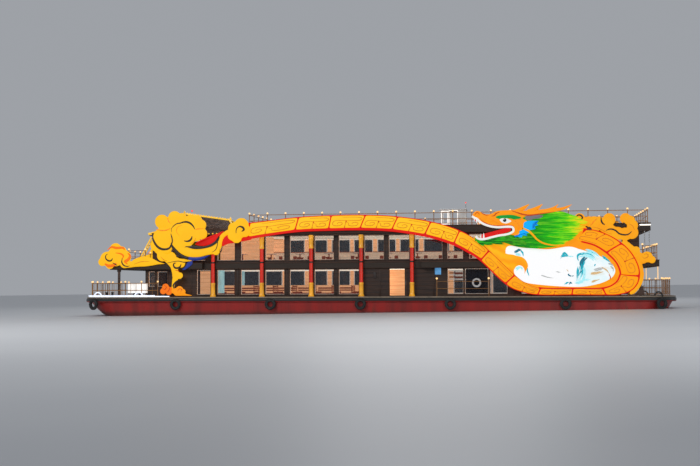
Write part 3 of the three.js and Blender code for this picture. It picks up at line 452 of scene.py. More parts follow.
def swept(rings, closed=False):
    """A skin through rings of points: the first ring is extruded to each of the others in turn."""
    shape = bmesh.new()
    ring = [shape.verts.new(point) for point in rings[0]]
    edges = first = [shape.edges.new(ends) for ends in zip(ring, ring[1:] + ring[:1])]
    for points in rings[1:]:
        made = set(bmesh.ops.extrude_edge_only(shape, edges=edges)["geom"])
        ring = [next(edge.other_vert(vert) for edge in vert.link_edges if edge.other_vert(vert) in made)
                for vert in ring]
        for vert, point in zip(ring, points):
            vert.co = point
        fresh = set(ring)
        edges = [item for item in made
                 if isinstance(item, bmesh.types.BMEdge) and fresh.issuperset(item.verts)]
    if closed:
        bmesh.ops.bridge_loops(shape, edges=first + edges)
    else:
        bmesh.ops.holes_fill(shape, edges=shape.edges[:], sides=0)
    bmesh.ops.recalc_face_normals(shape, faces=shape.faces[:])
    return shape


def curve_through(rows, steps, closed=False):
    """Points on a smooth line through rows of two or three numbers."""
    points = [Vector((*row, 0.0)[:3]) for row in rows]
    count = len(points)
    line = []
    for i in range(count if closed else count - 1):
        before, start, end, after = (
            points[(i + k) % count if closed else min(max(i + k, 0), count - 1)] for k in (-1, 0, 1, 2)
        )
        line += interpolate_bezier(start, start + (end - before) / 6, end - (after - start) / 6, end,
                                   steps + 1)[:-1]
    return line if closed else line + [points[-1]]


def spread(values, count):
    """So many numbers, evenly read from a list of a few."""
    read = []
    for i in range(count):
        place = i / (count - 1) * (len(values) - 1)
        low = min(int(place), len(values) - 2)
        read.append(values[low] + (values[low + 1] - values[low]) * (place - low))
    return read


def pipe(path, radii, sides=8, up=SIDEWAYS, flat=1.0):
    """A bar along a path, as thick as radii say and pressed flat along up."""
    points = [Vector(point) for point in path]
    last = len(points) - 1
    radii = [radii] * len(points) if isinstance(radii, (int, float)) else spread(radii, len(points))
    rings = []
    for i, (point, radius) in enumerate(zip(points, radii)):
        along = (points[min(i + 1, last)] - points[max(i - 1, 0)]).normalized()
        across = along.cross(up).normalized()
        out = across.cross(along) * flat
        turns = [FULL_TURN * k / sides for k in range(sides)]
        rings.append([point + (across * math.cos(turn) + out * math.sin(turn)) * radius for turn in turns])
    return swept(rings)


def on_side(rows, y):
    """Rows of x and height above the main deck, as points at a distance from the centreline."""
    return [(row[0], y, DECK + row[1]) for row in rows]


def stroke(rows, y, steps, flat=0.5):
    """A bar in side view through rows of x, height and half width."""
    line = curve_through(rows, steps)
    return pipe(on_side(line, y), [point.z for point in line], 10, flat=flat)


def panel(outline, back, front, crown=0.0, rim=0.05, steps=0):
    """A panel in side view from back to front, its outline smoothed and its face crowned."""
    rows = curve_through(outline, steps, True) if steps else outline
    shape = bmesh.new()
    face = shape.faces.new([shape.verts.new(point) for point in on_side(rows, back)])
    face.normal_update()
    if face.normal.y > 0:
        face.normal_flip()
    raised = bmesh.ops.extrude_face_region(shape, geom=[face])["geom"]
    bmesh.ops.translate(shape, verts=[item for item in raised if isinstance(item, bmesh.types.BMVert)],
                        vec=(0, front - back, 0))
    top = [item for item in raised if isinstance(item, bmesh.types.BMFace)]
    bmesh.ops.recalc_face_normals(shape, faces=shape.faces[:])
    for share in (0.55, 0.3, 0.15) if crown else ():
        bmesh.ops.inset_region(shape, faces=top, thickness=rim, depth=crown * share, use_even_offset=True)
    bmesh.ops.triangulate(shape, faces=[face for face in shape.faces if len(face.verts) > 4])
    return shape


def lobe(x, height, radius, back, front, crown, steps=40):
    """A round pillow in side view."""
    thickness = front - back
    profile = [(0, 0), (radius, 0), (radius, thickness), (0.97 * radius, thickness + 0.3 * crown),
               (0.9 * radius, thickness + 0.6 * crown), (0.7 * radius, thickness + 0.9 * crown),
               (0.35 * radius, thickness + crown), (0, thickness + crown)]
    shape = rolled(turned(profile, steps), -QUARTER_TURN, "X")
    bmesh.ops.translate(shape, verts=shape.verts[:], vec=(x, back, DECK + height))
    return shape


def rolled(shape, angle, axis):
    """The shape itself, turned about an axis through the origin."""
    bmesh.ops.rotate(shape, verts=shape.verts[:], matrix=Matrix.Rotation(angle, 3, axis))
    return shape


def stored(shape):
    """The shape as mesh data; the shape itself is used up."""
    store = bpy.data.meshes.new("store")
    shape.to_mesh(store)
    shape.free()
    return store


def joined(*shapes):
    """Several shapes as one mesh, their skins still apart."""
    whole = bmesh.new()
    for shape in shapes:
        store = stored(shape)
        whole.from_mesh(store)
        bpy.data.meshes.remove(store)
    return whole


def melted(shape, voxel=0.05, rounds=5):
    """The shape as one skin, its seams run together and softened."""
    store = stored(shape)
    holder = bpy.data.objects.new("holder", store)
    bpy.context.scene.collection.objects.link(holder)
    skin = holder.modifiers.new("skin", "REMESH")
    skin.mode, skin.voxel_size = "VOXEL", voxel
    soft = holder.modifiers.new("soft", "SMOOTH")
    soft.factor, soft.iterations = 0.5, rounds
    result = bmesh.new()
    result.from_object(holder, bpy.context.evaluated_depsgraph_get())
    bpy.data.objects.remove(holder)
    bpy.data.meshes.remove(store)
    return result


class Piece:
    """A piece of the boat, put together from shapes that each have a finish."""

    def __init__(self):
        self.mesh = bmesh.new()
        self.finishes = []

    def add(self, shape, finish, *places):
        """Adds the shape where it is, or at each place, with a finish."""
        if finish not in self.finishes:
            self.finishes.append(finish)
        for face in shape.faces:
            face.material_index = self.finishes.index(finish)
            face.smooth = True
        store = stored(shape)
        for place in places or [Matrix.Identity(4)]:
            copy = store.copy()
            copy.transform(place)
            if place.determinant() < 0:
                copy.flip_normals()
            self.mesh.from_mesh(copy)
            bpy.data.meshes.remove(copy)
        bpy.data.meshes.remove(store)

    def place(self, name, slot, replaces=(), body="boat", mirror=False):
        """Makes the piece an object of the model, riding on a body and standing for CAD nodes."""
        mesh = bpy.data.meshes.new(name)
        self.mesh.to_mesh(mesh)
        if mirror:
            mesh.transform(Matrix.Diagonal((1, -1, 1, 1)))
            mesh.flip_normals()
        mesh.transform(Matrix.Scale(MODEL_SCALE, 4))
        for finish in self.finishes:
            mesh.materials.append(finish)
        mesh.set_sharp_from_angle(angle=math.radians(40))
        piece = bpy.data.objects.new(name, mesh)
        bpy.context.scene.collection.objects.link(piece)
        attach(piece, body)
        if replaces:
            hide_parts(*replaces)

    def place_pair(self, name, slot, replaces=(), body="boat"):
        """Makes the piece on the starboard side and its mirror image to port."""
        for side, mirror in (("starboard", False), ("port", True)):
            nodes = [f"{node}_{side}" for node in replaces]
            self.place(f"{name}_{side}", slot, nodes, body.format(side=side), mirror)


def at(x, y, z, turn=0.0):
    """A place, turned about Z by so many radians."""
    return Matrix.LocRotScale((x, y, z), Matrix.Rotation(turn, 3, "Z"), None)


def both_sides(x, y, z):
    """The same place to starboard and to port."""
    return [at(x, y, z), at(x, -y, z)]


def about(middle, half):
    """Limits at the same distance to either side of a middle."""
    return middle - half, middle + half


# Hull, belt and main deck

def plan(inset, bow=None, stern=None, steps=14):
    """The boat's outline in plan, anticlockwise, drawn in along its flanks and at its round ends."""
    points = []
    for end, drawn_in in ((1, stern), (-1, bow)):
        for i in range(-steps, steps + 1):
            angle = math.pi / 2 * i / steps
            bulge = END_ROUNDING * abs(math.cos(angle)) ** END_POWER
            width = (HALF_BEAM - inset) * abs(math.sin(angle)) ** END_POWER
            tip = HALF_LENGTH - END_ROUNDING - (inset if drawn_in is None else drawn_in)
            points.append((end * (tip + bulge), end * math.copysign(width, angle)))
    return points


def face_at(x):
    """The plan's half width at x, and the turn of its face there."""
    def half_width(place):
        along = max(0.0, (abs(place) - HALF_LENGTH + END_ROUNDING) / END_ROUNDING)
        return HALF_BEAM * (1 - along ** (2 / END_POWER)) ** (END_POWER / 2)

    step = 0.05
    return half_width(x), math.atan((half_width(x + step) - half_width(x - step)) / (2 * step))


def moulding(path, section, closed=False):
    """A bar along a path in plan; its section's rows are out to the right of the path, and z."""
    points = [Vector((*point, 0.0)[:3]) for point in path]
    count = len(points)
    rings = []
    for i, point in enumerate(points):
        ahead = points[(i + 1) % count] - point if closed or i < count - 1 else point - points[i - 1]
        behind = point - points[i - 1] if closed or i else ahead
        along = (ahead.normalized() + behind.normalized()).normalized()
        out = Vector((along.y, -along.x, 0)) / along.dot(ahead.normalized())
        rings.append([point + out * reach + Vector((0, 0, z)) for reach, z in section])
    return swept(rings, closed)


def plan_moulding(section):
    """A bar all round the boat; its section's rows are drawn in from the plan, and z."""
    return swept([[(x, y, z) for x, y in plan(inset)] for inset, z in section], closed=True)


def rounded(out, z, ease=0.02):
    """A section between limits out and in z, its corners eased."""
    (a, b), (c, d) = out, z
    return [(a + ease, c), (b - ease, c), (b, c + ease), (b, d - ease),
            (b - ease, d), (a + ease, d), (a, d - ease), (a, c + ease)]


def either(side, low, high):
    """Limits across the boat, to starboard where side is 1 and to port where it is -1."""
    return sorted((side * low, side * high))


# Rows: z, drawn in along the flanks, at the bow, at the stern
HULL_ROWS = [
    (0.0, 0.62, 3.72, 4.52), (0.03, 0.5, 3.6, 4.4), (0.12, 0.36, 3.35, 4.3), (0.35, 0.2, 2.75, 4.1),
    (0.6, 0.165, 2.2, 4.0), (1.15, 0.15, 1.3, 3.8), (1.18, 0.15, 1.27, 0.95), (1.22, 0.15, 1.24, 0.86),
    (1.6, 0.15, 0.8, 0.55), (BELT_BOTTOM, 0.15, 0.4, 0.3), (HULL_TOP, 0.15, 0.15, 0.15),
]
PROPELLER, BLADES = (20.72, 1.7, 0.6), 4
RUDDER = (21.75, 1.7, 0.0)
SHAFT, SHAFT_RADIUS = (19.3, 20.56), 0.085
WELL_LINER = [(0, 1.14), (0.14, 1.14), (0.18, 1.17), (0, 1.17)]

hull = Piece()
hull.add(swept([[(x, y, z) for x, y in plan(*insets)] for z, *insets in HULL_ROWS]), HULL)
shaft = pipe([(x, 0, 0) for x in SHAFT], SHAFT_RADIUS, 12, UPWARD)
hull.add(shaft, BRONZE, *both_sides(0, *PROPELLER[1:]))
hull.add(turned(WELL_LINER), HULL, *both_sides(*RUDDER))
hull.place("hull_plating", "hull_red", ["hull"])

# Rows: drawn in from the plan, and z
BELT_SECTION = [
    (0.149, BELT_BOTTOM), (0.05, 2.03), (0.012, 2.07), (0, 2.12), (0, 2.24), (0.012, 2.29), (0.05, 2.325),
    (0.149, HULL_TOP),
]
TYRES = [-22.3, -15.4, -7.65, -0.46, 6.55, 15.3, 22.4]
TYRE_Z, TYRE_SUNK, LUGS = 1.87, 0.03, 20
LUG = (-0.035, 0.035), (0.42, 0.455), (0.03, 0.17)
# Rows: radius and depth
TYRE_SECTION = [
    (0.25, 0.0), (0.37, 0.0), (0.42, 0.03), (0.44, 0.07), (0.44, 0.13), (0.42, 0.17), (0.37, 0.2),
    (0.33, 0.19), (0.25, 0.2), (0.215, 0.17), (0.2, 0.1), (0.215, 0.03), (0.25, 0.0),
]


def tyre_place(x, side):
    """Where a tyre hangs, turned to the hull's face."""
    half_width, turn = face_at(x)
    return (
        Matrix.Diagonal((1, side, 1, 1)) @ Matrix.Translation((x, half_width, TYRE_Z))
        @ Matrix.Rotation(turn, 4, "Z") @ Matrix.Translation((0, -TYRE_SUNK, 0))
        @ Matrix.Rotation(-QUARTER_TURN, 4, "X")
    )


tyre = [turned(TYRE_SECTION, 28)]
for k in range(LUGS):
    tyre.append(rolled(block(*LUG, 0.01), FULL_TURN * k / LUGS, "Z"))
belt = Piece()
belt.add(plan_moulding(BELT_SECTION), HULL)
belt.add(joined(*tyre), RUBBER, *[tyre_place(x, side) for x in TYRES for side in (1, -1)])
belt.place("belt_and_tyres", "rubber", ["rubbing_belt"])

DECK_ROWS = [(0.05, 2.332), (0.05, 2.39), (0.06, DECK)]
TOE_RAIL = (0.045, 0.13), (2.34, 2.46)
deck = Piece()
deck.add(swept([[(x, y, z) for x, y in plan(inset)] for inset, z in DECK_ROWS]), DECK_GREY)
deck.add(plan_moulding(rounded(*TOE_RAIL)), TOE)
deck.place("main_deck_boards", "deck_paint", ["main_deck"])


# Propellers and rudders

BLADE_ROOT, BLADE_REACH, BLADE_HALF_CHORD, BLADE_HALF_THICKNESS = 0.09, 0.39, 0.16, 0.013
BLADE_SECTIONS, BLADE_SIDES = 8, 12
# Rows: radius and place along the shaft
HUB = [(0, -0.15), (0.1, -0.15), (0.125, -0.1), (0.13, 0.02), (0.1, 0.1), (0.05, 0.145), (0, 0.15)]
# Rows: place along the chord and half thickness
FOIL = [(-0.3, 0.0), (-0.27, 0.022), (-0.15, 0.04), (0.05, 0.04), (0.3, 0.024), (0.55, 0.005)]
# Rows: z and the chord's share
FIN_ROWS = [(0.12, 0.9), (0.14, 0.96), (0.3, 1.0), (1.06, 1.0), (1.08, 0.97)]
STOCK = [(0, 1.04), (0.1, 1.04), (0.1, 1.07), (0.06, 1.09), (0.06, 1.135), (0, 1.135)]


def blade():
    """A propeller blade along +Z, twisted and raked, its root in the hub."""
    rings = []
    for i in range(BLADE_SECTIONS + 1):
        share = i / BLADE_SECTIONS
        reach = BLADE_ROOT + BLADE_REACH * share
        fullness = 0.45 + 1.9 * share * (1 - share) + 0.12 * (1 - share)
        chord = BLADE_HALF_CHORD * fullness * (1 - share ** 6 * 0.7)
        pitch = math.atan(0.11 / reach) + 0.2
        ring = []
        for k in range(BLADE_SIDES):
            turn = FULL_TURN * k / BLADE_SIDES
            along = math.cos(turn) * chord
            off = math.sin(turn) * BLADE_HALF_THICKNESS
            ring.append((along * math.sin(pitch) + off * math.cos(pitch),
                         along * math.cos(pitch) - off * math.sin(pitch), reach))
        rings.append(ring)
    return swept(rings)


screw = Piece()
centre = Matrix.Translation(PROPELLER)
screw.add(rolled(turned(HUB, 20), QUARTER_TURN, "Y"), BRONZE, centre)
turns = [Matrix.Rotation(FULL_TURN * k / BLADES, 4, "X") for k in range(BLADES)]
screw.add(blade(), BRONZE, *[centre @ turn for turn in turns])
screw.place_pair("propeller_cast", "bronze", ["propeller"], "propeller_{side}_body")

foil = FOIL + [(x, -y) for x, y in FOIL[:0:-1]]
fin = Piece()
fin.add(swept([[(x * chord, y * chord, z) for x, y in foil] for z, chord in FIN_ROWS]), HULL,
        Matrix.Translation(RUDDER))
fin.add(turned(STOCK), STEEL, Matrix.Translation(RUDDER))
fin.place_pair("rudder_blade", "hull_red", ["rudder"], "rudder_{side}_body")


# Bow bulwark with its hoops, and the bitts on a beam across the foredeck

BULWARK_INSET, BULWARK_AFT, STRIP_AFT = 0.17, -17.2, -15.98
# Rows: out from the bulwark's line, and z
BULWARK_SECTION = [
    (-0.02, ON_DECK), (0.02, ON_DECK), (0.02, 2.56), (0.05, 2.57), (0.05, 2.6), (-0.05, 2.6), (-0.05, 2.57),
    (-0.02, 2.56),
]
HOOPS, HOOP_RADIUS, HOOP_Z = (-22.0, -18.55), 0.33, 2.5
BITT_X, BITT_Y, BITT_APART, BEAM_HALF_LENGTH = -21.6, 3.4, 0.25, 4.9
BOLLARD = [
    (0, 0), (0.15, 0), (0.15, 0.03), (0.09, 0.06), (0.085, 0.36), (0.12, 0.4), (0.12, 0.43), (0.1, 0.45),
    (0, 0.45),
]
LIT_WHITE = gloss_paint("bulwark_lit_white", (0.80, 0.86, 1.0), 0.3, 0.9)


def arch(x, radius, y, z, height, steps):
    """Points of a half ring that stands along the boat."""
    turns = spread([0, math.pi], steps)
    return [(x + radius * math.cos(turn), y, z + height * math.sin(turn)) for turn in turns]


width = HALF_BEAM - BULWARK_INSET
bow_path = [(x, y) for x, y in plan(BULWARK_INSET, steps=20) if x < BULWARK_AFT]
bulwark = Piece()
bulwark.add(moulding([(BULWARK_AFT, width), *bow_path, (BULWARK_AFT, -width)], BULWARK_SECTION), LIT_WHITE)
bulwark.add(pipe(arch(0, HOOP_RADIUS, 0, 0, HOOP_RADIUS, 17), 0.05, 10), LIT_WHITE, *[
    Matrix.Diagonal((1, side, 1, 1)) @ at(x, face_at(x)[0] - BULWARK_INSET, HOOP_Z, face_at(x)[1])
    for x in HOOPS for side in (1, -1)
])
beam_path = [(BITT_X, y) for y in (-BEAM_HALF_LENGTH, BEAM_HALF_LENGTH)]
bulwark.add(moulding(beam_path, rounded((-0.35, 0.35), (ON_DECK, 2.46))), IRON)
bulwark.add(turned(BOLLARD, 20), IRON, *[
    place for x in (BITT_X - BITT_APART, BITT_X + BITT_APART) for place in both_sides(x, BITT_Y, DECK)
])
for y in (-width, width):
    bulwark.add(block((BULWARK_AFT, STRIP_AFT), about(y, 0.03), (ON_DECK, 2.54), 0.01), LIT_WHITE)
bulwark.place("bow_bulwark_plate", "white_paint", ["bow_bulwark"])


# Walls: the casings round the windows, the panes of the end walls, and the lit lining inside

LOWER_WINDOWS = [
    (-13.9, -12.75), (-12.2, -10.75), (-10.25, -8.7), (-8.25, -6.7), (-6.25, -4.7), (-4.25, -2.7),
    (-2.3, -0.7), (6.3, 7.5), (7.65, 9.45), (9.6, 10.9), (12.0, 13.6), (14.0, 15.6), (16.0, 17.6),
]
UPPER_WINDOWS = [
    (-16.9, -15.4), (-15.0, -13.2), (-12.2, -10.75), (-10.25, -8.7), (-8.25, -6.7), (-6.25, -4.7),
    (-4.25, -2.7), (-2.3, -0.7), (-0.25, 1.3), (1.7, 3.3), (3.75, 5.9), (6.3, 7.5), (8.0, 9.6), (10.0, 11.6),
    (12.0, 13.6), (14.0, 15.6), (16.0, 17.6), (18.0, 19.6),
]
BOW_WINDOWS = [(-17.95, -17.4), (-17.2, -16.35)]
# Rows of windows, each with its sill and its head
LOWER_ROW = LOWER_WINDOWS, DECK + 0.24, DECK + 2.2
UPPER_ROW = UPPER_WINDOWS, UPPER + 0.2, UPPER + 2.1
BOW_ROW = BOW_WINDOWS, DECK + 0.9, DECK + 2.1
DOORWAY = (1.75, 3.02), (DECK + 0.12, DECK + 2.2)
# Rows: out from the opening's edge, and off the face
CASING = [(0.0, -0.1), (0.0, 0.03), (0.02, 0.045), (0.07, 0.045), (0.085, 0.03), (0.085, -0.004)]
INNER_FRAME = [(-0.03, 0.0), (-0.03, -0.03), (0.05, -0.03), (0.05, 0.0)]
BATTENS = [
    -14.35, -12.47, -10.5, -8.47, -6.47, -4.47, -2.5, -0.46, 1.0, 3.55, 5.2, 11.45, 13.8, 15.8, 18.3,
]


def casing(x, z, face, section):
    """A frame round an opening in side view; its section's rows are out from the edge and off the face."""
    corners = [(x[0], z[0], -1, -1), (x[1], z[0], 1, -1), (x[1], z[1], 1, 1), (x[0], z[1], -1, 1)]
    return swept([
        [(cx + sx * out, face + off, cz + sz * out) for out, off in section] for cx, cz, sx, sz in corners
    ], closed=True)


def lining(x, z, openings, sill, head, y):
    """Wall panels between openings, and the strips above and below them."""
    edges = [x[0], *[edge for opening in openings for edge in opening], x[1]]
    posts = [block((low, high), y, (sill, head)) for low, high in zip(edges[::2], edges[1::2])]
    return joined(block(x, y, (z[0], sill)), block(x, y, (head, z[1])), *posts)


walls = Piece()
for windows, sill, head in (LOWER_ROW, UPPER_ROW, BOW_ROW):
    for window in windows:
        walls.add(casing(window, (sill, head), WALL_FACE, CASING), TRIM)
walls.add(casing(*DOORWAY, WALL_FACE, CASING), TRIM)
for x in BATTENS:
    batten = block(about(x, 0.06), (WALL_FACE - 0.01, WALL_FACE + 0.03), (DECK + 0.02, 4.66), 0.01)
    walls.add(batten, CABIN)
walls.place_pair("window_casings", "cabin_wood")

END_SPANS = [(-3.8, -1.6), (1.6, 3.8)]
# Rows: the end wall's forward face, z limits, and the windows' limits across the boat
END_WINDOWS = [
    (LOWER_BOW, (DECK + 0.8, DECK + 2.0), END_SPANS),
    (LOWER_STERN - WALL, (DECK + 0.8, DECK + 2.0), END_SPANS),
    (UPPER_BOW, (UPPER + 0.7, UPPER + 2.0), [(-3.9, -1.4), (-1.1, 1.1), (1.4, 3.9)]),
    (UPPER_STERN - WALL, (UPPER + 0.8, UPPER + 2.0), END_SPANS),
]
panes = Piece()
for x, z, spans in END_WINDOWS:
    for span in spans:
        panes.add(block((x + 0.045, x + 0.075), span, z, 0.005), GLASS)
panes.place("end_window_panes", "window_glass")

INNER = (4.2, 4.24)
LOWER_ROOM, UPPER_ROOM = (2.42, 4.66), (5.2, 7.38)
ROOMS = [
    ((-15.0, 1.6), LOWER_ROOM, LOWER_ROW), ((4.5, 19.3), LOWER_ROOM, LOWER_ROW),
    ((-17.4, 20.7), UPPER_ROOM, UPPER_ROW), ((-18.05, -15.02), LOWER_ROOM, BOW_ROW),
]
CEILINGS = [
    ((3.1, 4.5), (4.09, 4.13), (2.42, 4.6)), ((-18.0, 19.3), (0.0, 4.08), (4.62, 4.66)),
    ((-17.4, 20.7), (0.0, 4.19), (7.35, 7.39)),
]
# Screens and partitions in the rooms, and a bare poster: x, y and z limits, finish
PARTITIONS = [
    ((1.2, 3.3), (2.6, 2.64), (2.42, 4.6), LOBBY), ((7.7, 9.4), (4.05, 4.1), (2.42, 4.6), CABIN),
    ((-12.6, -8.1), (1.9, 1.94), (5.22, 7.3), LINING),
    ((-12.5, -11.86), (3.4, 3.43), (DECK + 0.34, DECK + 2.2), POSTER),
    ((-14.1, -13.86), (3.5, 3.53), (DECK + 0.25, DECK + 2.2), CABIN),
]
SLAT_X, SLAT_Y, SLAT_Z, SLAT_PITCH, SLATS = (6.42, 7.46), (4.1, 4.13), (3.75, 3.84), 0.16, 5
room = Piece()
for x, z, (windows, sill, head) in ROOMS:
    openings = [window for window in windows if x[0] < window[0] and window[1] < x[1]]
    room.add(lining(x, z, openings, sill, head, INNER), LINING)
    for opening in openings:
        room.add(casing(opening, (sill, head), INNER[0], INNER_FRAME), FRAME)
for limits in CEILINGS:
    room.add(block(*limits), CEILING)
for y in (1.1, 3.6):
    room.add(block((-12.5, 17.5), about(y, 0.06), (4.59, 4.63), 0.015), STRIP)
    room.add(block((-16.8, 20.0), about(y, 0.07), (7.31, 7.36), 0.015), STRIP)
for *limits, finish in PARTITIONS:
    room.add(block(*limits), finish)
for k in range(SLATS):
    room.add(block(SLAT_X, SLAT_Y, [z + SLAT_PITCH * k for z in SLAT_Z]), (FRAME, SEAT)[k % 2])
room.place_pair("saloon_lining", "cabin_wood")


# Sliding and hinged doors: the trim that rides on each

SIDE_DOOR, SIDE_DOOR_FACE, SIDE_DOOR_HANDLE_X = ((3.12, 4.08), (2.62, 4.42)), 4.229, 3.0
# Rows: y, and z
SIDE_HANDLE = [(4.24, 3.3), (4.255, 3.34), (4.255, 3.66), (4.24, 3.7)]
# Rows: off the bulkhead, and z
BOW_HANDLE = [(0, 3.3), (0.05, 3.33), (0.05, 3.67), (0, 3.7)]
# Rows: out from the opening's edge, and off the face
SIDE_BEAD = [(-0.06, 0.0), (-0.05, 0.014), (0.05, 0.014), (0.06, 0.0)]
BOW_PANELS, BOW_HANDLE_Y, HANDLE_RADIUS = ((2.6, 3.35), (3.5, 4.35)), 0.09, 0.014

leaf = Piece()
leaf.add(casing(*SIDE_DOOR, SIDE_DOOR_FACE, SIDE_BEAD), TRIM)
leaf.add(pipe([(SIDE_DOOR_HANDLE_X, y, z) for y, z in SIDE_HANDLE], HANDLE_RADIUS), STEEL)
leaf.place_pair("side_door_trim", "cabin_wood", body="side_door_{side}_body")

leaf = Piece()
for z in BOW_PANELS:
    leaf.add(block((LOWER_BOW - 0.025, LOWER_BOW), (0.14, 0.78), z, 0.012), TRIM)
leaf.add(pipe([(LOWER_BOW - out, BOW_HANDLE_Y, z) for out, z in BOW_HANDLE], HANDLE_RADIUS), STEEL)
leaf.place_pair("bow_door_trim", "cabin_wood", body="bow_door_{side}_body")


# Deck edges: mouldings along the fascias, and a light strip round the sun deck's stern

# The upper deck is cut back over the columns: from x, to x, and the half width there
RECESS = (-13.3, 4.3, 4.55)
STRIP_FROM, STRIP_Z = 20.9, (SUN - 0.2, SUN - 0.13)


def around(x0, x1, y, recess=None):
    """Corners of a deck in plan, anticlockwise, drawn in along its sides between two places."""
    port = [(x0, -y), (x1, -y)]
    if recess:
        start, end, inner = recess
        port[1:1] = [(start, -y), (start, -inner), (end, -inner), (end, -y)]
    return port + [(x, -side) for x, side in port[::-1]]


edges = Piece()
for x0, x1, low, high, recess in ((SLAB_BOW, SLAB_STERN, UPPER_UNDERSIDE, UPPER, RECESS),
                                  (SUN_BOW, SUN_STERN, SUN_UNDERSIDE, SUN, None)):
    path = around(x0, x1, SIDE_FACE, recess)
    edges.add(moulding(path, rounded((-0.03, 0.015), (low + 0.01, low + 0.05)), True), TRIM)
    edges.add(moulding(path, rounded((-0.03, 0.03), (high - 0.06, high + 0.012)), True), TRIM)
edges.add(block((SUN_STERN - 0.01, SUN_STERN + 0.03), (-4.9, 4.9), STRIP_Z), STRIP)
for side in (1, -1):
    edges.add(block((STRIP_FROM, SUN_STERN), either(side, 4.94, 4.98), STRIP_Z), STRIP)
edges.place("deck_edge_mouldings", "cabin_wood")


# Colonnade

# Rows: finish, and rows of radius and height
COLUMN_PARTS = [
    (GILT, [(0, 0), (0.24, 0), (0.24, 0.05), (0.225, 0.1), (0.235, 0.13), (0.19, 0.2), (0.172, 0.32),
            (0.165, 0.5), (0.165, 1.02), (0.178, 1.05), (0.178, 1.13), (0.16, 1.16), (0, 1.16)]),
    (COLUMN, [(0, 1.16), (0.142, 1.16), (0.142, 2.74), (0, 2.74)]),
    (BLACK_AND_SHADE, [(0, 2.72), (0.148, 2.72), (0.148, 2.84), (0, 2.84)]),
    (COLUMN, [(0, 2.84), (0.142, 2.84), (0.142, 3.9), (0, 3.9)]),
    (GILT, [(0, 3.86), (0.17, 3.86), (0.185, 3.9), (0.185, 3.98), (0.165, 4.02), (0.165, 4.35), (0.18, 4.5),
            (0.21, 4.62), (0.18, 4.68), (0.21, 4.82), (0.21, 4.92), (0, 4.92)]),
]
colonnade = Piece()
# Kerb and beam: past the columns, half width, and z limits
for past, half, z in ((0.0, 0.1, (ON_DECK, 2.46)), (0.2, 0.12, (7.28, 7.398))):
    along = COLUMNS[0] - past, COLUMNS[-1] + past
    colonnade.add(block(along, (COLUMN_Y - half, COLUMN_Y + half), z), TRIM)
for finish, profile in COLUMN_PARTS:
    colonnade.add(turned(profile), finish, *[at(x, COLUMN_Y, DECK) for x in COLUMNS])
colonnade.place_pair("turned_columns", "column_red", ["colonnade"])


# Railings

GLOBE = 0.075
TOP_RAIL = [(0.05, 0), (0.05, 0.03), (0.02, 0.05), (-0.02, 0.05), (-0.05, 0.03), (-0.05, 0)]
LOW_RAILS = (0.14, 0.5)
PORCH_Z, CAP_Z = (ON_DECK, 4.668), (4.5, 4.667)
BOARD_X, BOARD_Z = (-19.53, -17.87), (DECK + 0.38, DECK + 1.16)
LIT_BOARD = gloss_paint("lit_board_white", (0.84, 0.82, 0.78), 0.4, 0.75)


def legs_between(corners, pitch, closed):
    """Points at about equal steps along straight legs between corners."""
    ends = corners[1:] + corners[:1] if closed else corners[1:]
    points = [] if closed else [corners[0]]
    for (x0, y0), (x1, y1) in zip(corners, ends):
        count = max(1, round(math.hypot(x1 - x0, y1 - y0) / pitch))
        points += [(x0 + (x1 - x0) * i / count, y0 + (y1 - y0) * i / count) for i in range(1, count + 1)]
    return points


def railing(name, corners, pitch, floor, height, closed=False, extra=(), bars=None):
    """A railing of turned posts with globe lamps, a moulded top rail, thinner rails and perhaps bars."""
    piece = Piece()
    post = turned([
        (0, 0), (0.06, 0), (0.06, 0.03), (0.035, 0.06), (0.032, 0.3), (0.045, 0.34), (0.032, 0.38),
        (0.03, height - 0.2), (0.045, height - 0.16), (0.03, height - 0.12), (0.03, height),
        (0.05, height + 0.02), (0.035, height + 0.04), (0, height + 0.04),
    ], 10)
    posts = [at(x, y, floor) for x, y in legs_between(corners, pitch, closed)]
    piece.add(post, RAIL, *posts)
    piece.add(ball(GLOBE), LAMP, *[at(0, 0, height + 0.9 * GLOBE + 0.02) @ place for place in posts])
    piece.add(moulding(corners, [(out, floor + height - 0.06 + z) for out, z in TOP_RAIL], closed), RAIL)
    for share in LOW_RAILS:
        middle = floor + share * height
        section = rounded((-0.022, 0.022), (middle - 0.03, middle + 0.02), 0.008)
        piece.add(moulding(corners, section, closed), RAIL)
    if bars:
        z = floor + LOW_RAILS[0] * height, floor + height - 0.05
        bar = block((-0.012, 0.012), (-0.012, 0.012), z, 0.003)
        piece.add(bar, RAIL, *[at(x, y, 0) for x, y in legs_between(corners, bars, closed)])
    for shape, finish in extra:
        piece.add(shape, finish)
    piece.place(name, "railing_gold", [name.replace("_bars", "_railing")])


def round_end(x0, inset, end):
    """Corners of a railing round a boat end, from one flank to the other."""
    side, tip = HALF_BEAM - inset, HALF_LENGTH - inset
    near = [(end * (tip - back), out) for back, out in
            ((END_ROUNDING, side), (1.0, side - 0.55), (0.2, 0.5 * side))]
    return [(x0, side), *near, *[(x, -y) for x, y in near[::-1]], (x0, -side)]


def porch_posts(x):
    """Posts with capitals that carry the upper deck's end."""
    posts = [block(about(x, 0.09), either(side, 4.66, 4.84), PORCH_Z, 0.02) for side in (1, -1)]
    caps = [block(about(x, 0.13), either(side, 4.62, 4.88), CAP_Z, 0.02) for side in (1, -1)]
    return [(shape, TRIM) for shape in posts + caps]


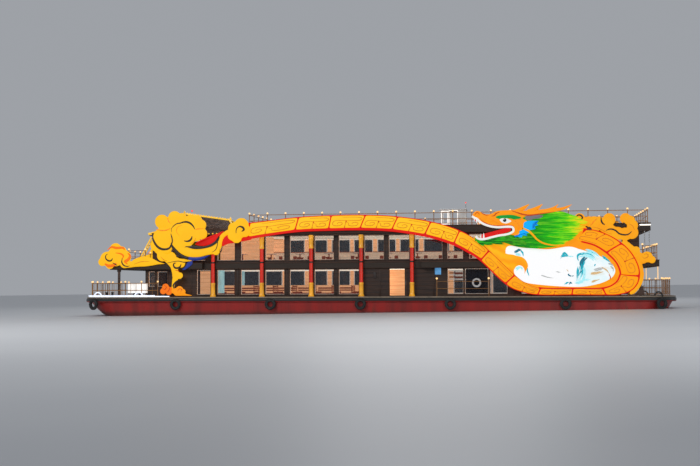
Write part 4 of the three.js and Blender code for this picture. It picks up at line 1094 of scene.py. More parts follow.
boards = [(block(BOARD_X, either(side, 4.79, 4.84), BOARD_Z, 0.015), LIT_BOARD) for side in (1, -1)]
railing("foredeck_bars", round_end(-17.0, 0.32, -1), 1.3, DECK, 1.2, extra=porch_posts(-20.3) + boards,
        bars=0.43)
railing("stern_bars", round_end(20.0, 0.45, 1), 1.3, DECK, 1.3, extra=porch_posts(20.9), bars=0.43)
for name, x0, x1, pitch, height in (
    ("bow_balcony_bars", -18.1, -20.85, 1.4, 1.05), ("stern_balcony_bars", 21.1, 22.15, 1.2, 1.1),
):
    railing(name, [(x0, 4.75), (x1, 4.75), (x1, -4.75), (x0, -4.75)], pitch, UPPER, height)
railing("sun_deck_bars", around(-9.45, 21.5, 4.8), 1.493, SUN, 1.0, True)


# Pavilion roof

# Rows: x from, x to, half width, and height above the main deck at the bow and at the stern
ROOF_ROWS = [
    (-17.7, -10.82, 4.94, 5.0, 5.0), (-17.7, -10.82, 4.94, 5.11, 5.11), (-17.45, -10.94, 4.3, 5.28, 5.26),
    (-17.2, -11.06, 3.75, 5.48, 5.45), (-16.95, -11.2, 3.2, 5.73, 5.68), (-16.7, -11.55, 2.2, 6.12, 5.9),
    (-16.45, -11.93, 1.1, 6.55, 6.17), (-16.2, -12.3, 0.12, 7.0, 6.42),
]
RIB_PITCH, SIDE_RIBS, END_RIBS, FIRST_RIB = 0.32, 20, 15, -17.55
RIDGE_BALLS, MAST_X, MAST_Z = 18, -15.6, (9.3, 9.68)
FINIAL = [(0, 0), (0.1, 0), (0.06, 0.08), (0.11, 0.16), (0.04, 0.27), (0, 0.34)]


def roof_spot(row, x, y):
    """The spot at x and y on one row of the roof."""
    x0, x1, _, bow, stern = row
    return x, y, DECK + bow + (stern - bow) * (x - x0) / (x1 - x0)


def roof_line(inside, spot):
    """Up the slope from the eaves, as far as the rows reach."""
    line = []
    for row, above in zip(ROOF_ROWS[1:], ROOF_ROWS[2:]):
        if not inside(row):
            break
        line.append(spot(row))
        if not inside(above):
            low, high = 0.0, 1.0
            for _ in range(12):
                middle = (low + high) / 2
                between = [a + (b - a) * middle for a, b in zip(row, above)]
                low, high = (middle, high) if inside(between) else (low, middle)
            line.append(spot([a + (b - a) * low for a, b in zip(row, above)]))
    return line if len(line) > 1 else []


roof = Piece()
corners = [(0, -1), (1, -1), (1, 1), (0, 1)]
rings = [[roof_spot(row, row[end], side * row[2]) for end, side in corners] for row in ROOF_ROWS]
roof.add(swept(rings), TILE)
lines = []
for k in range(SIDE_RIBS):
    x = FIRST_RIB + RIB_PITCH * k
    for side in (1, -1):
        lines.append(roof_line(lambda row: row[0] <= x <= row[1],
                               lambda row: roof_spot(row, x, side * row[2])))
for k in range(-END_RIBS, END_RIBS + 1):
    y = RIB_PITCH * k
    for end in (0, 1):
        lines.append(roof_line(lambda row: abs(y) <= row[2], lambda row: roof_spot(row, row[end], y)))
for line in lines:
    if line:
        roof.add(pipe(line, 0.05, 6, UPWARD), TILE)
        roof.add(ball(0.06, steps=8), RIDGE, at(*line[0]))
for side in (1, -1):
    for end in (0, 1):
        spots = [roof_spot(row, row[end], side * row[2]) for row in ROOF_ROWS[1:]]
        hip = [Vector(spot) + Vector((0, 0, 0.04)) for spot in spots]
        roof.add(pipe(hip, 0.075, 8, UPWARD), RIDGE)
        roof.add(ball(0.11, steps=10), RIDGE, at(*hip[0]))
top = ROOF_ROWS[-1]
ridge = [Vector(roof_spot(top, x, 0)) for x in spread([top[0] - 0.05, top[1] + 0.05], RIDGE_BALLS)]
roof.add(pipe(ridge, 0.1, 8, UPWARD), RIDGE)
roof.add(ball(0.1, 0.7, 10), RIDGE, *[at(*(spot + Vector((0, 0, 0.08)))) for spot in ridge])
roof.add(turned(FINIAL, 12), RIDGE, at(*ridge[0]), at(*ridge[-1]))
roof.add(pipe([(MAST_X, 0, z) for z in MAST_Z], 0.025, 8, LENGTHWAYS), STEEL)
roof.add(ball(0.08, steps=10), BEACON, at(MAST_X, 0, MAST_Z[1] + 0.02))
roof.place("tiled_pavilion_roof", "roof_tile", ["pavilion_roof"])


# Stair hood, with its beacon

# Rows: x from, x to, and height above the sun deck from and to
HOOD_OPENINGS = [(5.65, 6.1, 0.3, 1.3), (6.25, 6.9, 0.15, 1.35)]
HOOD_RAILS = [
    (5.5, 7.6, 0.002, 0.15), (5.5, 7.6, 1.35, 1.45), (5.5, 5.65, 0.15, 1.35), (6.1, 6.25, 0.15, 1.35),
    (6.9, 7.6, 0.15, 1.35), (5.64, 6.11, 0.14, 0.3),
]
HOOD_FRAME = [(-0.01, -0.1), (-0.01, 0.02), (0.04, 0.02), (0.05, -0.01)]
HOOD_MAST_X, HOOD_SIDE = 7.55, (0.8, 0.9)
hood = Piece()
hood.add(block((7.5, 7.6), (-0.82, 0.82), (SUN + 0.002, SUN + 1.5)), PALE)
hood.add(block((5.45, 7.65), (-0.95, 0.95), (SUN + 1.42, SUN + 1.5), 0.03), PALE)
for mirror in (Matrix.Identity(4), Matrix.Diagonal((1, -1, 1, 1))):
    for x0, x1, z0, z1 in HOOD_RAILS:
        hood.add(block((x0, x1), HOOD_SIDE, (SUN + z0, SUN + z1), 0.006), PALE, mirror)
    for x0, x1, z0, z1 in HOOD_OPENINGS:
        hood.add(casing((x0, x1), (SUN + z0, SUN + z1), HOOD_SIDE[1], HOOD_FRAME), FRAME, mirror)
hood.add(pipe([(HOOD_MAST_X, 0, SUN + 1.48), (HOOD_MAST_X, 0, SUN + 2.04)], 0.03, 10, LENGTHWAYS), STEEL)
hood.add(pipe([(HOOD_MAST_X, y, SUN + 1.84) for y in (-0.3, 0.3)], 0.018, 8, LENGTHWAYS), STEEL)
hood.add(ball(0.06), BEACON, at(HOOD_MAST_X, 0, SUN + 2.06))
hood.place("stair_hood_panels", "white_paint", ["stair_hood"])


# Furniture, seen through the windows

BENCH_FROM, BENCH_PITCH, BENCHES, BENCH_Y = -12.6, 1.6, 8, (1.4, 3.4)
BENCH_FLOOR, BENCH_BACKING = (-13.0, 0.5), (1.33, 1.36)
WALL_SEAT_FROM, WALL_SEAT_PITCH, WALL_SLATS = (-12.9, -11.5), 1.68, ((0.26, 0.34), (0.5, 0.6), (0.66, 0.78))


def seat(x, y, floor):
    """A slatted bench that faces forward."""
    parts = []
    for k in range(4):
        parts.append(block((x + 0.02 + 0.1 * k, x + 0.1 + 0.1 * k), y, (floor + 0.41, floor + 0.45)))
    for k in range(3):
        parts.append(block((x - 0.06, x - 0.03), y, (floor + 0.5 + 0.15 * k, floor + 0.62 + 0.15 * k)))
    for x1, top in ((x + 0.42, 0.41), (x - 0.02, 0.95)):
        for foot in (y[0] + 0.1, y[1] - 0.15):
            parts.append(block((x - 0.07, x1), (foot, foot + 0.05), (floor + 0.05, floor + top)))
    return joined(*parts)


benches = Piece()
benches.add(block(BENCH_FLOOR, (1.33, 3.4), (ON_DECK, 2.44)), CABIN)
benches.add(block(BENCH_FLOOR, BENCH_BACKING, (2.43, 3.36)), LINING)
for k in range(BENCHES):
    along = [x + WALL_SEAT_PITCH * k for x in WALL_SEAT_FROM]
    for low, high in WALL_SLATS:
        benches.add(block(along, (1.36, 1.39), (DECK + low, DECK + high)), SEAT)
for k in range(BENCHES):
    benches.add(seat(BENCH_FROM + BENCH_PITCH * k, BENCH_Y, DECK), SEAT)
benches.place_pair("slatted_benches", "bench_wood", ["benches"])

TABLE_FROM, TABLE_PITCH, TABLES, TABLE_Y, STOOL_Y = -10.65, 2.4, 8, 2.2, (1.55, 2.85)
TABLE_FLOOR, PANEL_FROM, PANEL_PITCH, PANELS = (-11.5, 8.6), (-11.4, -11.1), 1.2, 17
STOOL = [(0, 0.03), (0.16, 0.03), (0.13, 0.1), (0.12, 0.35), (0.19, 0.4), (0.19, 0.45), (0, 0.46)]
TABLE_FOOT = [(0, 0.03), (0.2, 0.03), (0.06, 0.08), (0.05, 0.68), (0.12, 0.71), (0, 0.71)]
# The linen's glow is painted lamplight of the saloon.
CLOTH = gloss_paint("table_linen_painted_lamplight", (0.72, 0.66, 0.70), 0.6, 0.35)
places = [TABLE_FROM + TABLE_PITCH * k for k in range(TABLES)]
tables = Piece()
for y, z, finish in (((1.22, 3.1), (ON_UPPER, 5.215), CABIN), ((1.22, 1.25), (5.21, 6.02), CREAM),
                     ((1.21, 1.26), (6.02, 6.08), SEAT)):
    tables.add(block(TABLE_FLOOR, y, z), finish)
for k in range(PANELS):
    tables.add(block([x + PANEL_PITCH * k for x in PANEL_FROM], (1.25, 1.29), (5.21, 5.75)), SEAT)
tables.add(turned(TABLE_FOOT, 14), SEAT, *[at(x, TABLE_Y, UPPER) for x in places])
tables.add(block((-0.35, 0.35), (1.8, 2.6), (0.705, 0.75), 0.02), CLOTH, *[at(x, 0, UPPER) for x in places])
tables.add(turned(STOOL, 14), SEAT, *[at(x, y, UPPER) for x in places for y in STOOL_Y])
tables.place_pair("tables_and_stools", "bench_wood", ["tables"])


# Sundries on the outside: ladders to the roof, posts and lamps on the side decks, fittings on the walls

LADDER_FOOT, LADDER_HEAD, TREADS = Vector((-18.91, 0, DECK + 2.8)), Vector((-17.75, 0, DECK + 4.92)), 8
LADDER_Y = (3.7, 4.25)
ladder = Piece()
for y in LADDER_Y:
    stringer = [spot + Vector((0, y, 0)) for spot in (LADDER_FOOT, LADDER_HEAD)]
    ladder.add(pipe(stringer, 0.06), RIDGE)
for k in range(TREADS):
    spot = LADDER_FOOT.lerp(LADDER_HEAD, (k + 0.5) / TREADS)
    tread = block(about(spot.x, 0.08), LADDER_Y, about(spot.z, 0.015))
    ladder.add(tread, PALE)
ladder.place_pair("balcony_ladder", "railing_gold")

STANCHIONS, LAMP_POSTS, LAMP_POST_Y = (21.26, 21.6), (5.49, 9.5), 4.9
STERN_LAMP_X, STERN_LAMP_Y = 22.28, 4.1
posts = Piece()
for x in STANCHIONS:
    posts.add(pipe([(x, 4.86, z) for z in (UPPER, SUN_UNDERSIDE)], 0.03), STEEL)
for x in LAMP_POSTS:
    posts.add(pipe([(x, LAMP_POST_Y, DECK), (x, LAMP_POST_Y, DECK + 1.38)], 0.028), RAIL)
    posts.add(ball(0.08), LAMP, at(x, LAMP_POST_Y, DECK + 1.44))
for height in (0.65, 1.2):
    posts.add(pipe([(x, LAMP_POST_Y, DECK + height) for x in LAMP_POSTS], 0.018, 8, UPWARD), RAIL)
posts.add(pipe([(STERN_LAMP_X, STERN_LAMP_Y, DECK + height) for height in (1.3, 2.36)], 0.03), LAMP)
posts.add(ball(0.07), LAMP, at(STERN_LAMP_X, STERN_LAMP_Y, DECK + 2.42))
posts.add(pipe(arch(22.2, 0.3, 4.95, DECK, 0.35, 13), 0.06, 10), IRON)
posts.place_pair("side_deck_posts", "railing_gold")

SPEAKERS, SPOTLIGHTS = (-15.2, 0.58), (-12.47, -8.46, -4.46, -0.46, 3.54, 7.55, 11.45)
LIFE_RING = [(0.24, -0.05), (0.33, -0.05), (0.36, 0), (0.33, 0.05), (0.24, 0.05), (0.21, 0), (0.24, -0.05)]
fittings = Piece()
fittings.add(block((5.31, 5.79), (WALL_FACE, 4.44), (DECK + 1.75, DECK + 2.32), 0.01), NOTICE)
for x in SPEAKERS:
    speaker = block(about(x, 0.11), (WALL_FACE, 4.46), (DECK + 1.5, DECK + 1.95), 0.02)
    fittings.add(speaker, BLACK_AND_SHADE)
for x in SPOTLIGHTS:
    bracket = block(about(x, 0.05), (WALL_FACE, 4.47), (UPPER + 1.85, UPPER + 1.92), 0.01)
    fittings.add(bracket, STEEL)
    fittings.add(ball(0.06, steps=10), STRIP, at(x, 4.5, UPPER + 1.8))
fittings.add(rolled(turned(LIFE_RING, 28), -QUARTER_TURN, "X"), PALE, at(8.55, 4.46, DECK + 1.1))
fittings.place_pair("wall_fittings", "cabin_wood")


# The dragon's body: a red band with yellow plates between slanting dividers

BODY_LINE = [
    (-9.7, 5.25, 0.66), (-8.3, 5.43, 0.6), (-5.5, 5.75, 0.58), (-2.9, 5.84, 0.6), (-0.3, 5.85, 0.6),
    (2.3, 5.7, 0.6), (5.0, 5.24, 0.62), (6.9, 4.64, 0.62), (8.1, 4.01, 0.6), (9.2, 3.19, 0.52),
    (11.1, 1.37, 0.5), (12.2, 0.72, 0.36), (13.4, 0.42, 0.26), (15.9, 0.4, 0.24), (18.1, 0.4, 0.26),
    (19.15, 0.6, 0.46), (19.85, 1.08, 0.72), (20.1, 1.8, 0.74), (19.75, 2.8, 0.7), (18.95, 3.68, 0.66),
    (17.8, 4.38, 0.58), (16.6, 4.69, 0.52),
]
# Rows: x and height on the inner side of the bend, x and height on the outer side
DIVIDERS = [
    (-9.3, 5.9, -9.5, 4.8), (-5.37, 6.26, -5.73, 5.24), (-2.77, 6.39, -3.02, 5.37),
    (-0.05, 6.36, -0.55, 5.34), (2.5, 6.24, 1.97, 5.23), (5.1, 5.95, 4.57, 4.97), (7.41, 5.41, 6.94, 4.4),
    (9.55, 3.53, 8.93, 2.84), (11.51, 1.75, 10.74, 0.99), (13.46, 0.6, 13.23, 0.14),
    (15.86, 0.66, 15.78, 0.13), (18.02, 0.66, 18.31, 0.05), (19.44, 1.67, 20.84, 1.66),
    (18.43, 3.42, 19.47, 3.94), (16.1, 4.3, 16.98, 5.07),
]
# Scrolls on each plate: share along the plate, and across it
SCROLLS = [
    [(0.5, 0.12), (0.4, 0.2), (0.22, 0.22), (0.1, 0.05), (0.09, -0.4), (0.17, -0.62), (0.33, -0.6),
     (0.4, -0.3), (0.33, -0.08), (0.24, -0.2), (0.26, -0.38)],
    [(0.5, 0.12), (0.7, 0.16), (0.9, 0.2), (0.96, 0.42), (0.92, 0.66), (0.7, 0.72), (0.35, 0.72)],
    [(0.52, -0.1), (0.6, -0.3), (0.62, -0.6), (0.74, -0.72), (0.88, -0.6), (0.9, -0.3), (0.8, -0.12),
     (0.7, -0.26), (0.74, -0.42)],
]
NOTCH = [0.2, 0.1, -0.15, -0.55, -0.98]


class Band:
    """A band in side view that can be asked for the spot so far along it, and so far across."""

    def __init__(self, rows, steps=12):
        self.line = curve_through(rows, steps)

    def at(self, along):
        low = min(max(int(along), 0), len(self.line) - 2)
        return self.line[low].lerp(self.line[low + 1], along - low)

    def spot(self, along, across):
        """x and height; across runs from -1 at one edge to 1 at the other."""
        here, way = self.at(along), self.at(along + 1) - self.at(along - 1)
        way = way.xy.normalized()
        return here.x - way.y * here.z * across, here.y + way.x * here.z * across

    def nearest(self, x, height):
        """How far along the spot lies, also a little beyond either end."""
        spot = Vector((x, height))
        low = min(range(len(self.line) - 1), key=lambda i: (self.line[i].xy - spot).length)
        way = self.line[low + 1].xy - self.line[low].xy
        return low + (spot - self.line[low].xy).dot(way) / way.length_squared

    def solid(self, section):
        """The band as a solid; its section's rows are across, and the distance from the centreline."""
        rings = []
        for i in range(len(self.line)):
            spots = [(self.spot(i, across), y) for across, y in section]
            rings.append([(x, y, DECK + height) for (x, height), y in spots])
        return swept(rings)


# Layers of the lantern work, as distances from the centreline
FIELD_BACK, PLAIN_BACK, CLOUD_BACK, SCREEN_BACK = 4.952, 4.955, 4.96, 4.98
FIELD_FRONT, SCREEN_FRONT = 5.03, 5.055
PLATE_FOOT, BRUSH_Y, EDGE_Y, MANE_BACK, MANE_FRONT = 5.07, 5.073, 5.1, 5.222, 5.28
TONGUE_BACK, HEAD_BACK, BEARD_Y, BROW_BACK, WHISKER_Y = 5.34, 5.345, 5.36, 5.46, 5.5

# Rows: across the band, and the distance from the centreline
BAND_SECTION = [
    (-1, FIELD_BACK), (-1, PLATE_FOOT), (-0.97, 5.09), (0.97, 5.09), (1, PLATE_FOOT), (1, FIELD_BACK),
]
PLATE_RISE, PLATE_STEPS, DIVIDER_HALF = 0.14, (22, 10), 0.05
NECK, BEND = (7.6, 4.4), (13.2, 0.45)
SCROLL_HALVES, NOTCH_HALVES = [0.015, 0.026, 0.026, 0.015], [0.01, 0.07, 0.03, 0.014, 0.016, 0.04]
body = Band(BODY_LINE)


def plate_limits(x):
    """How far across the band the plates reach, in and out: the red margin is wide under the arch."""
    return -0.68 - 0.22 * min(1.0, max(0.0, (x - 8) / 3)), 0.92


def plate(start, end):
    """One pillowed plate between two dividers, each given along the inner and the outer side."""
    def lies_at(share, across):
        low, high = plate_limits(body.at((start[0] + end[0]) / 2).x)
        reach = low + (high - low) * (across + 1) / 2
        ends = [(outer + inner) / 2 + (inner - outer) / 2 * reach for inner, outer in (start, end)]
        first, last = (Vector(body.spot(end, reach)) for end in ends)
        margin = DIVIDER_HALF / (last - first).length
        return body.spot(ends[0] + (ends[1] - ends[0]) * (margin + share * (1 - 2 * margin)), reach)

    shape = bmesh.new()
    columns, rows = PLATE_STEPS
    bmesh.ops.create_grid(shape, x_segments=columns, y_segments=rows, size=1.0)
    rim = [edge for edge in shape.edges if edge.is_boundary]
    skirt = bmesh.ops.extrude_edge_only(shape, edges=rim)["geom"]
    low = {item for item in skirt if isinstance(item, bmesh.types.BMVert)}
    for vert in shape.verts:
        s, t = vert.co.x, vert.co.y
        round_s, round_t = s * math.sqrt(1 - 0.05 * t ** 8), t * math.sqrt(1 - 0.12 * s ** 12)
        x, height = lies_at((round_s + 1) / 2, round_t)
        rise = 0.0 if vert in low else 0.35 + 0.65 * math.sqrt((1 - s ** 6) * (1 - t ** 4))
        vert.co = (x, PLATE_FOOT + PLATE_RISE * rise, DECK + height)
    bmesh.ops.recalc_face_normals(shape, faces=shape.faces[:])
    if next(face for face in shape.faces if len(face.verts) == 4).normal.y < 0:
        bmesh.ops.reverse_faces(shape, faces=shape.faces[:])
    return shape, lies_at


def trace(piece, rows, finish, half, steps=6, lift=0.0):
    """A painted line along rows of x and height, laid on the piece's outer face; half tapers as listed."""
    tree = BVHTree.FromBMesh(piece.mesh)
    line, y = [], None
    for point in curve_through(rows, steps):
        hit = tree.ray_cast(Vector((point.x, 9, DECK + point.y)), Vector((0, -1, 0)))[0]
        y = hit.y if hit and hit.y > SIDE_FACE else y
        line.append([point.x, y, DECK + point.y])
    known = next(y for _, y, _ in line if y is not None)
    for spot in line:
        spot[1] = known = spot[1] if spot[1] is not None else known
    heights = [spot[1] for spot in line]
    for i, spot in enumerate(line):
        near = heights[max(0, i - 2):i + 3]
        spot[1] = max(near) * 0.5 + sum(near) / len(near) * 0.5 + lift
    piece.add(pipe(line, half, 6, flat=0.6), finish)


def draw(piece, lines):
    """Paints lines on the piece, each with its finish, its rows of x and height, and its half widths."""
    for finish, rows, halves in lines:
        trace(piece, rows, finish, halves)


dragon = Piece()
dragon.add(body.solid(BAND_SECTION), RED)
ends = [(body.nearest(x, h), body.nearest(outer_x, outer_h)) for x, h, outer_x, outer_h in DIVIDERS]
plates = [plate(start, end) for start, end in zip(ends, ends[1:])]
for shape, _ in plates:
    dragon.add(shape, PLATE)
neck, bend, tail = round(body.nearest(*NECK)), round(body.nearest(*BEND)), len(body.line)
# Lines along the band's edges: across, from, to, half width, finish
for across, low, high, half, finish in (
    (-0.97, 0, tail, 0.035, RED), (0.97, 0, neck + 1, 0.035, RED), (0.97, neck, bend + 1, 0.016, RUST),
    (0.93, bend, tail, 0.07, RED),
):
    edge = [body.spot(i, across) for i in range(low, high, 2)]
    dragon.add(pipe(on_side(edge, EDGE_Y), half), finish)
for _, lies_at in plates:
    for scroll in SCROLLS:
        trace(dragon, [lies_at(share, across) for share, across in scroll], OCHRE, SCROLL_HALVES, 5)
    trace(dragon, [lies_at(0.5, across) for across in NOTCH], RUST, NOTCH_HALVES, 4, 0.01)
dragon.place_pair("dragon_plates", "lantern_yellow", ["dragon_body"])


# What stands behind the dragon: the orange field, and the painted screen in its loop

FIELD_OUTLINE = [
    (8.4, 4.6), (9.24, 3.5), (10.38, 2.4), (11.51, 1.3), (12.63, 0.6), (13.76, 0.45), (15.86, 0.45),
    (17.87, 0.45), (19.3, 1.18), (19.7, 1.86), (19.2, 3.0), (17.6, 4.2), (16.95, 5.25), (16.3, 5.65),
    (15.8, 5.75), (14.9, 5.6), (13.8, 4.6), (11.91, 4.1), (9.6, 4.4),
]
SCREEN_OUTLINE = [
    (10.78, 3.6), (10.9, 3.86), (11.26, 3.95), (12.05, 3.8), (13.0, 3.73), (14.12, 3.66), (15.59, 3.85),
    (16.44, 3.63), (17.29, 3.36), (18.14, 3.0), (18.81, 2.48), (19.06, 1.95), (18.8, 1.44), (18.11, 1.05),
    (17.26, 0.83), (16.41, 0.72), (15.21, 0.75), (13.83, 0.85), (12.59, 1.0), (12.02, 1.2), (11.66, 1.45),
    (11.44, 1.77), (11.38, 2.1), (11.3, 2.4), (11.0, 2.7), (10.8, 3.1),
]
HOOK = [
    (10.7, 3.35), (11.0, 3.28), (11.29, 3.25), (11.7, 3.14), (12.04, 3.05), (12.32, 2.83), (12.49, 2.48),
    (12.46, 2.2), (12.33, 1.98), (12.24, 1.8), (12.24, 1.98), (12.19, 2.18), (12.07, 2.33), (11.86, 2.42),
    (11.62, 2.34), (11.46, 2.12), (11.36, 1.95), (11.2, 2.25), (10.9, 2.7), (10.62, 3.0),
]
# Brush strokes on the screen: finish, number of bristles, how far they spread, rows of x and height
STROKES = [
    (CYAN, 12, 0.16, [(11.5, 3.3), (11.8, 3.26), (12.05, 3.2)]),
    (DEEP, 12, 0.14, [(11.38, 3.42), (11.65, 3.5), (11.85, 3.6), (12.0, 3.5)]),
    (TEAL, 8, 0.1, [(11.95, 3.5), (12.12, 3.35), (12.15, 3.12)]),
    (CYAN, 12, 0.14, [(11.6, 2.05), (11.8, 2.25), (12.02, 2.2), (12.15, 1.95)]),
    (TEAL, 6, 0.06, [(12.45, 2.2), (12.46, 1.95), (12.6, 1.55)]),
    (TEAL, 8, 0.1, [(15.27, 3.4), (15.1, 3.15), (14.88, 2.82)]),
    (TEAL, 8, 0.1, [(15.27, 3.36), (15.42, 3.2), (15.6, 3.08)]),
    (TEAL, 12, 0.14, [(15.05, 3.08), (15.3, 3.14), (15.58, 3.1)]),
    (TEAL, 6, 0.08, [(15.12, 3.2), (15.28, 3.3), (15.42, 3.2)]),
    (CYAN, 5, 0.03, [(15.5, 3.08), (15.75, 3.07), (16.0, 3.05)]),
    (CYAN, 14, 0.3, [(16.4, 3.1), (16.9, 3.2), (17.35, 3.0), (17.55, 2.75)]),
    (CYAN, 14, 0.18, [(16.83, 3.54), (17.24, 3.42), (17.6, 3.25), (17.9, 3.05)]),
    (TEAL, 14, 0.12, [(16.29, 2.74), (16.24, 3.05), (16.4, 3.24), (16.9, 3.3), (17.25, 3.2), (17.5, 2.98)]),
    (TEAL, 8, 0.08, [(17.0, 3.5), (17.35, 3.38), (17.65, 3.15)]),
    (TEAL, 12, 0.13, [(18.12, 3.08), (18.4, 2.83), (18.71, 2.6)]),
    (CYAN, 16, 0.4, [(16.55, 2.3), (16.65, 1.8), (16.5, 1.3), (16.2, 1.1)]),
    (CYAN, 10, 0.25, [(16.0, 1.15), (16.4, 1.12), (16.8, 1.28), (17.15, 1.2)]),
    (TEAL, 10, 0.16, [(16.34, 2.3), (16.24, 1.95), (16.2, 1.6), (16.18, 1.25)]),
    (TEAL, 8, 0.1, [(16.62, 2.25), (16.58, 1.85), (16.42, 1.4)]),
    (DEEP, 26, 0.22, [(16.92, 3.02), (16.7, 2.86), (16.57, 2.64), (16.51, 2.39), (16.56, 2.19),
                      (16.45, 1.94)]),
    (TEAL, 12, 0.2, [(16.75, 2.75), (16.6, 2.4), (16.52, 2.0), (16.3, 1.5)]),
    (DEEP, 6, 0.06, [(16.6, 2.05), (16.45, 1.85), (16.3, 1.75)]),
    (TEAL, 4, 0.04, [(17.56, 2.48), (17.47, 2.28)]),
    (ASH, 6, 0.1, [(18.5, 2.47), (18.77, 2.45), (19.0, 2.27)]),
    (ASH, 6, 0.14, [(18.7, 2.3), (18.9, 2.1), (18.85, 1.85)]),
    (SAND, 14, 0.16, [(17.25, 1.75), (17.65, 1.8), (18.15, 1.96)]),
    (ASH, 8, 0.3, [(17.4, 1.95), (17.8, 2.1), (18.3, 2.2)]),
    (SAND, 8, 0.1, [(17.25, 1.08), (17.52, 1.22), (17.85, 1.32)]),
    (SAND, 6, 0.2, [(18.1, 2.2), (18.4, 2.0), (18.6, 1.7)]),
    (RUST, 3, 0.02, [(18.51, 1.74), (18.66, 1.49), (18.6, 1.27)]),
    (DEEP, 8, 0.1, [(15.53, 1.74), (15.62, 1.6), (15.8, 1.56)]),
    (DEEP, 3, 0.02, [(15.75, 1.57), (15.88, 1.58), (16.0, 1.63)]),
    (SAND, 3, 0.03, [(15.42, 2.08), (15.48, 1.98), (15.54, 1.9)]),
    (TEAL, 8, 0.08, [(15.27, 0.95), (15.4, 1.06), (15.6, 1.1)]),
    (DEEP, 7, 0.08, [(15.6, 0.95), (15.72, 1.08), (15.86, 0.96)]),
    (ASH, 3, 0.03, [(13.46, 1.64), (13.96, 1.5), (14.53, 1.41)]),
    (ASH, 3, 0.03, [(14.59, 1.89), (14.8, 1.88), (15.03, 1.82)]),
]
BRISTLE_TAPER, SCREEN_SEED = (0.3, 1.0, 0.9, 0.6, 0.15), 3

field = Piece()
field.add(panel(FIELD_OUTLINE, FIELD_BACK, FIELD_FRONT, 0.02, 0.04, 5), FIELD)
field.add(panel(HOOK, FIELD_FRONT, 5.1, 0.02, 0.008, 4), FIELD)
field.place_pair("flame_field", "lantern_orange", ["field"])
screen = Piece()
screen.add(panel(SCREEN_OUTLINE, SCREEN_BACK, SCREEN_FRONT, 0.015, 0.03, 4), SCREEN)
trace(screen, [*SCREEN_OUTLINE, SCREEN_OUTLINE[0]], FIELD, 0.035, 5)
chance = random.Random(SCREEN_SEED)
for finish, count, spread_out, rows in STROKES:
    for _ in range(count):
        rise, shift = (chance.uniform(-0.5, 0.5) * spread_out for _ in range(2))
        line = curve_through([(x + shift, height + rise) for x, height in rows], 4)
        start = chance.randrange(max(1, len(line) // 3))
        line = line[start:start + max(4, int(len(line) * chance.uniform(0.5, 0.9)))]
        radii = [chance.uniform(0.018, 0.05) * size for size in BRISTLE_TAPER]
        screen.add(pipe(on_side(line, BRUSH_Y), radii, 5, flat=0.3), finish)
screen.place_pair("painted_screen", "lantern_white", ["screen"])


# The mane: flames drawn out along flow lines, over a backing

MANE_OUTLINE = [
    (11.86, 6.2), (13.53, 6.38), (14.58, 6.43), (15.4, 6.25), (16.0, 5.95), (16.4, 5.6), (16.3, 5.2),
    (15.8, 4.8), (15.3, 4.5), (15.0, 4.2), (14.6, 3.95), (13.95, 3.75), (12.66, 3.72), (11.53, 3.88),
    (10.39, 4.3), (9.6, 4.22), (9.01, 4.0), (8.63, 4.31), (8.6, 4.45), (9.63, 4.6), (11.0, 4.95),
    (11.75, 5.4),
]
FLOWS = [
    [(11.7, 6.15), (12.8, 6.3), (13.9, 6.33), (14.9, 6.42), (15.6, 6.3)],
    [(12.0, 6.0), (13.3, 6.12), (14.6, 6.18), (15.7, 6.12), (16.4, 5.98)],
    [(12.1, 5.75), (13.4, 5.85), (14.8, 5.88), (16.0, 5.8), (17.05, 5.66)],
    [(12.2, 5.5), (13.4, 5.52), (14.8, 5.5), (16.0, 5.45), (16.9, 5.36)],
    [(12.2, 5.3), (13.3, 5.15), (14.6, 5.08), (15.8, 5.08), (16.75, 5.2)],
    [(12.0, 5.0), (13.1, 4.8), (14.3, 4.68), (15.4, 4.72), (16.46, 4.9)],
    [(11.7, 4.75), (12.8, 4.5), (13.9, 4.32), (15.0, 4.3), (16.1, 4.55)],
    [(11.2, 4.72), (12.3, 4.35), (13.4, 4.08), (14.5, 4.0), (15.5, 4.12)],
    [(10.3, 4.6), (11.5, 4.25), (12.7, 3.95), (13.8, 3.82), (14.7, 3.9)],
    [(9.4, 4.45), (10.5, 4.25), (11.6, 4.0), (12.8, 3.78), (13.9, 3.78)],
]
BEARD = [
    [(8.6, 4.5), (8.75, 4.3), (9.0, 4.08), (9.3, 3.98)],
    [(8.8, 4.42), (9.1, 4.22), (9.5, 4.1), (10.0, 4.12)],
    [(9.1, 4.4), (9.6, 4.28), (10.2, 4.16), (10.9, 4.1)],
    [(9.6, 4.5), (10.3, 4.38), (11.1, 4.22), (12.0, 4.05)],
    [(10.2, 4.6), (11.0, 4.5), (11.9, 4.25), (12.6, 4.1)],
]
FLAME_TAPER, FLAME_COUNT, MANE_SEED = (0.35, 0.85, 1.0, 0.95, 0.8, 0.6, 0.35, 0.05), 330, 7


def flame(guide, start, reach, half, y):
    """A lick along part of a flow line, widest near its root and drawn out to a point."""
    count = len(FLAME_TAPER)
    line = [guide[round((start + reach * share) * (len(guide) - 1))] for share in spread([0, 1], count)]
    swell = [0.035 * math.sin(math.pi * k / (count - 1)) for k in range(count)]
    path = [(x, y + rise, DECK + height) for (x, height), rise in zip(line, swell)]
    return pipe(path, [half * size for size in FLAME_TAPER], 6, flat=0.45)


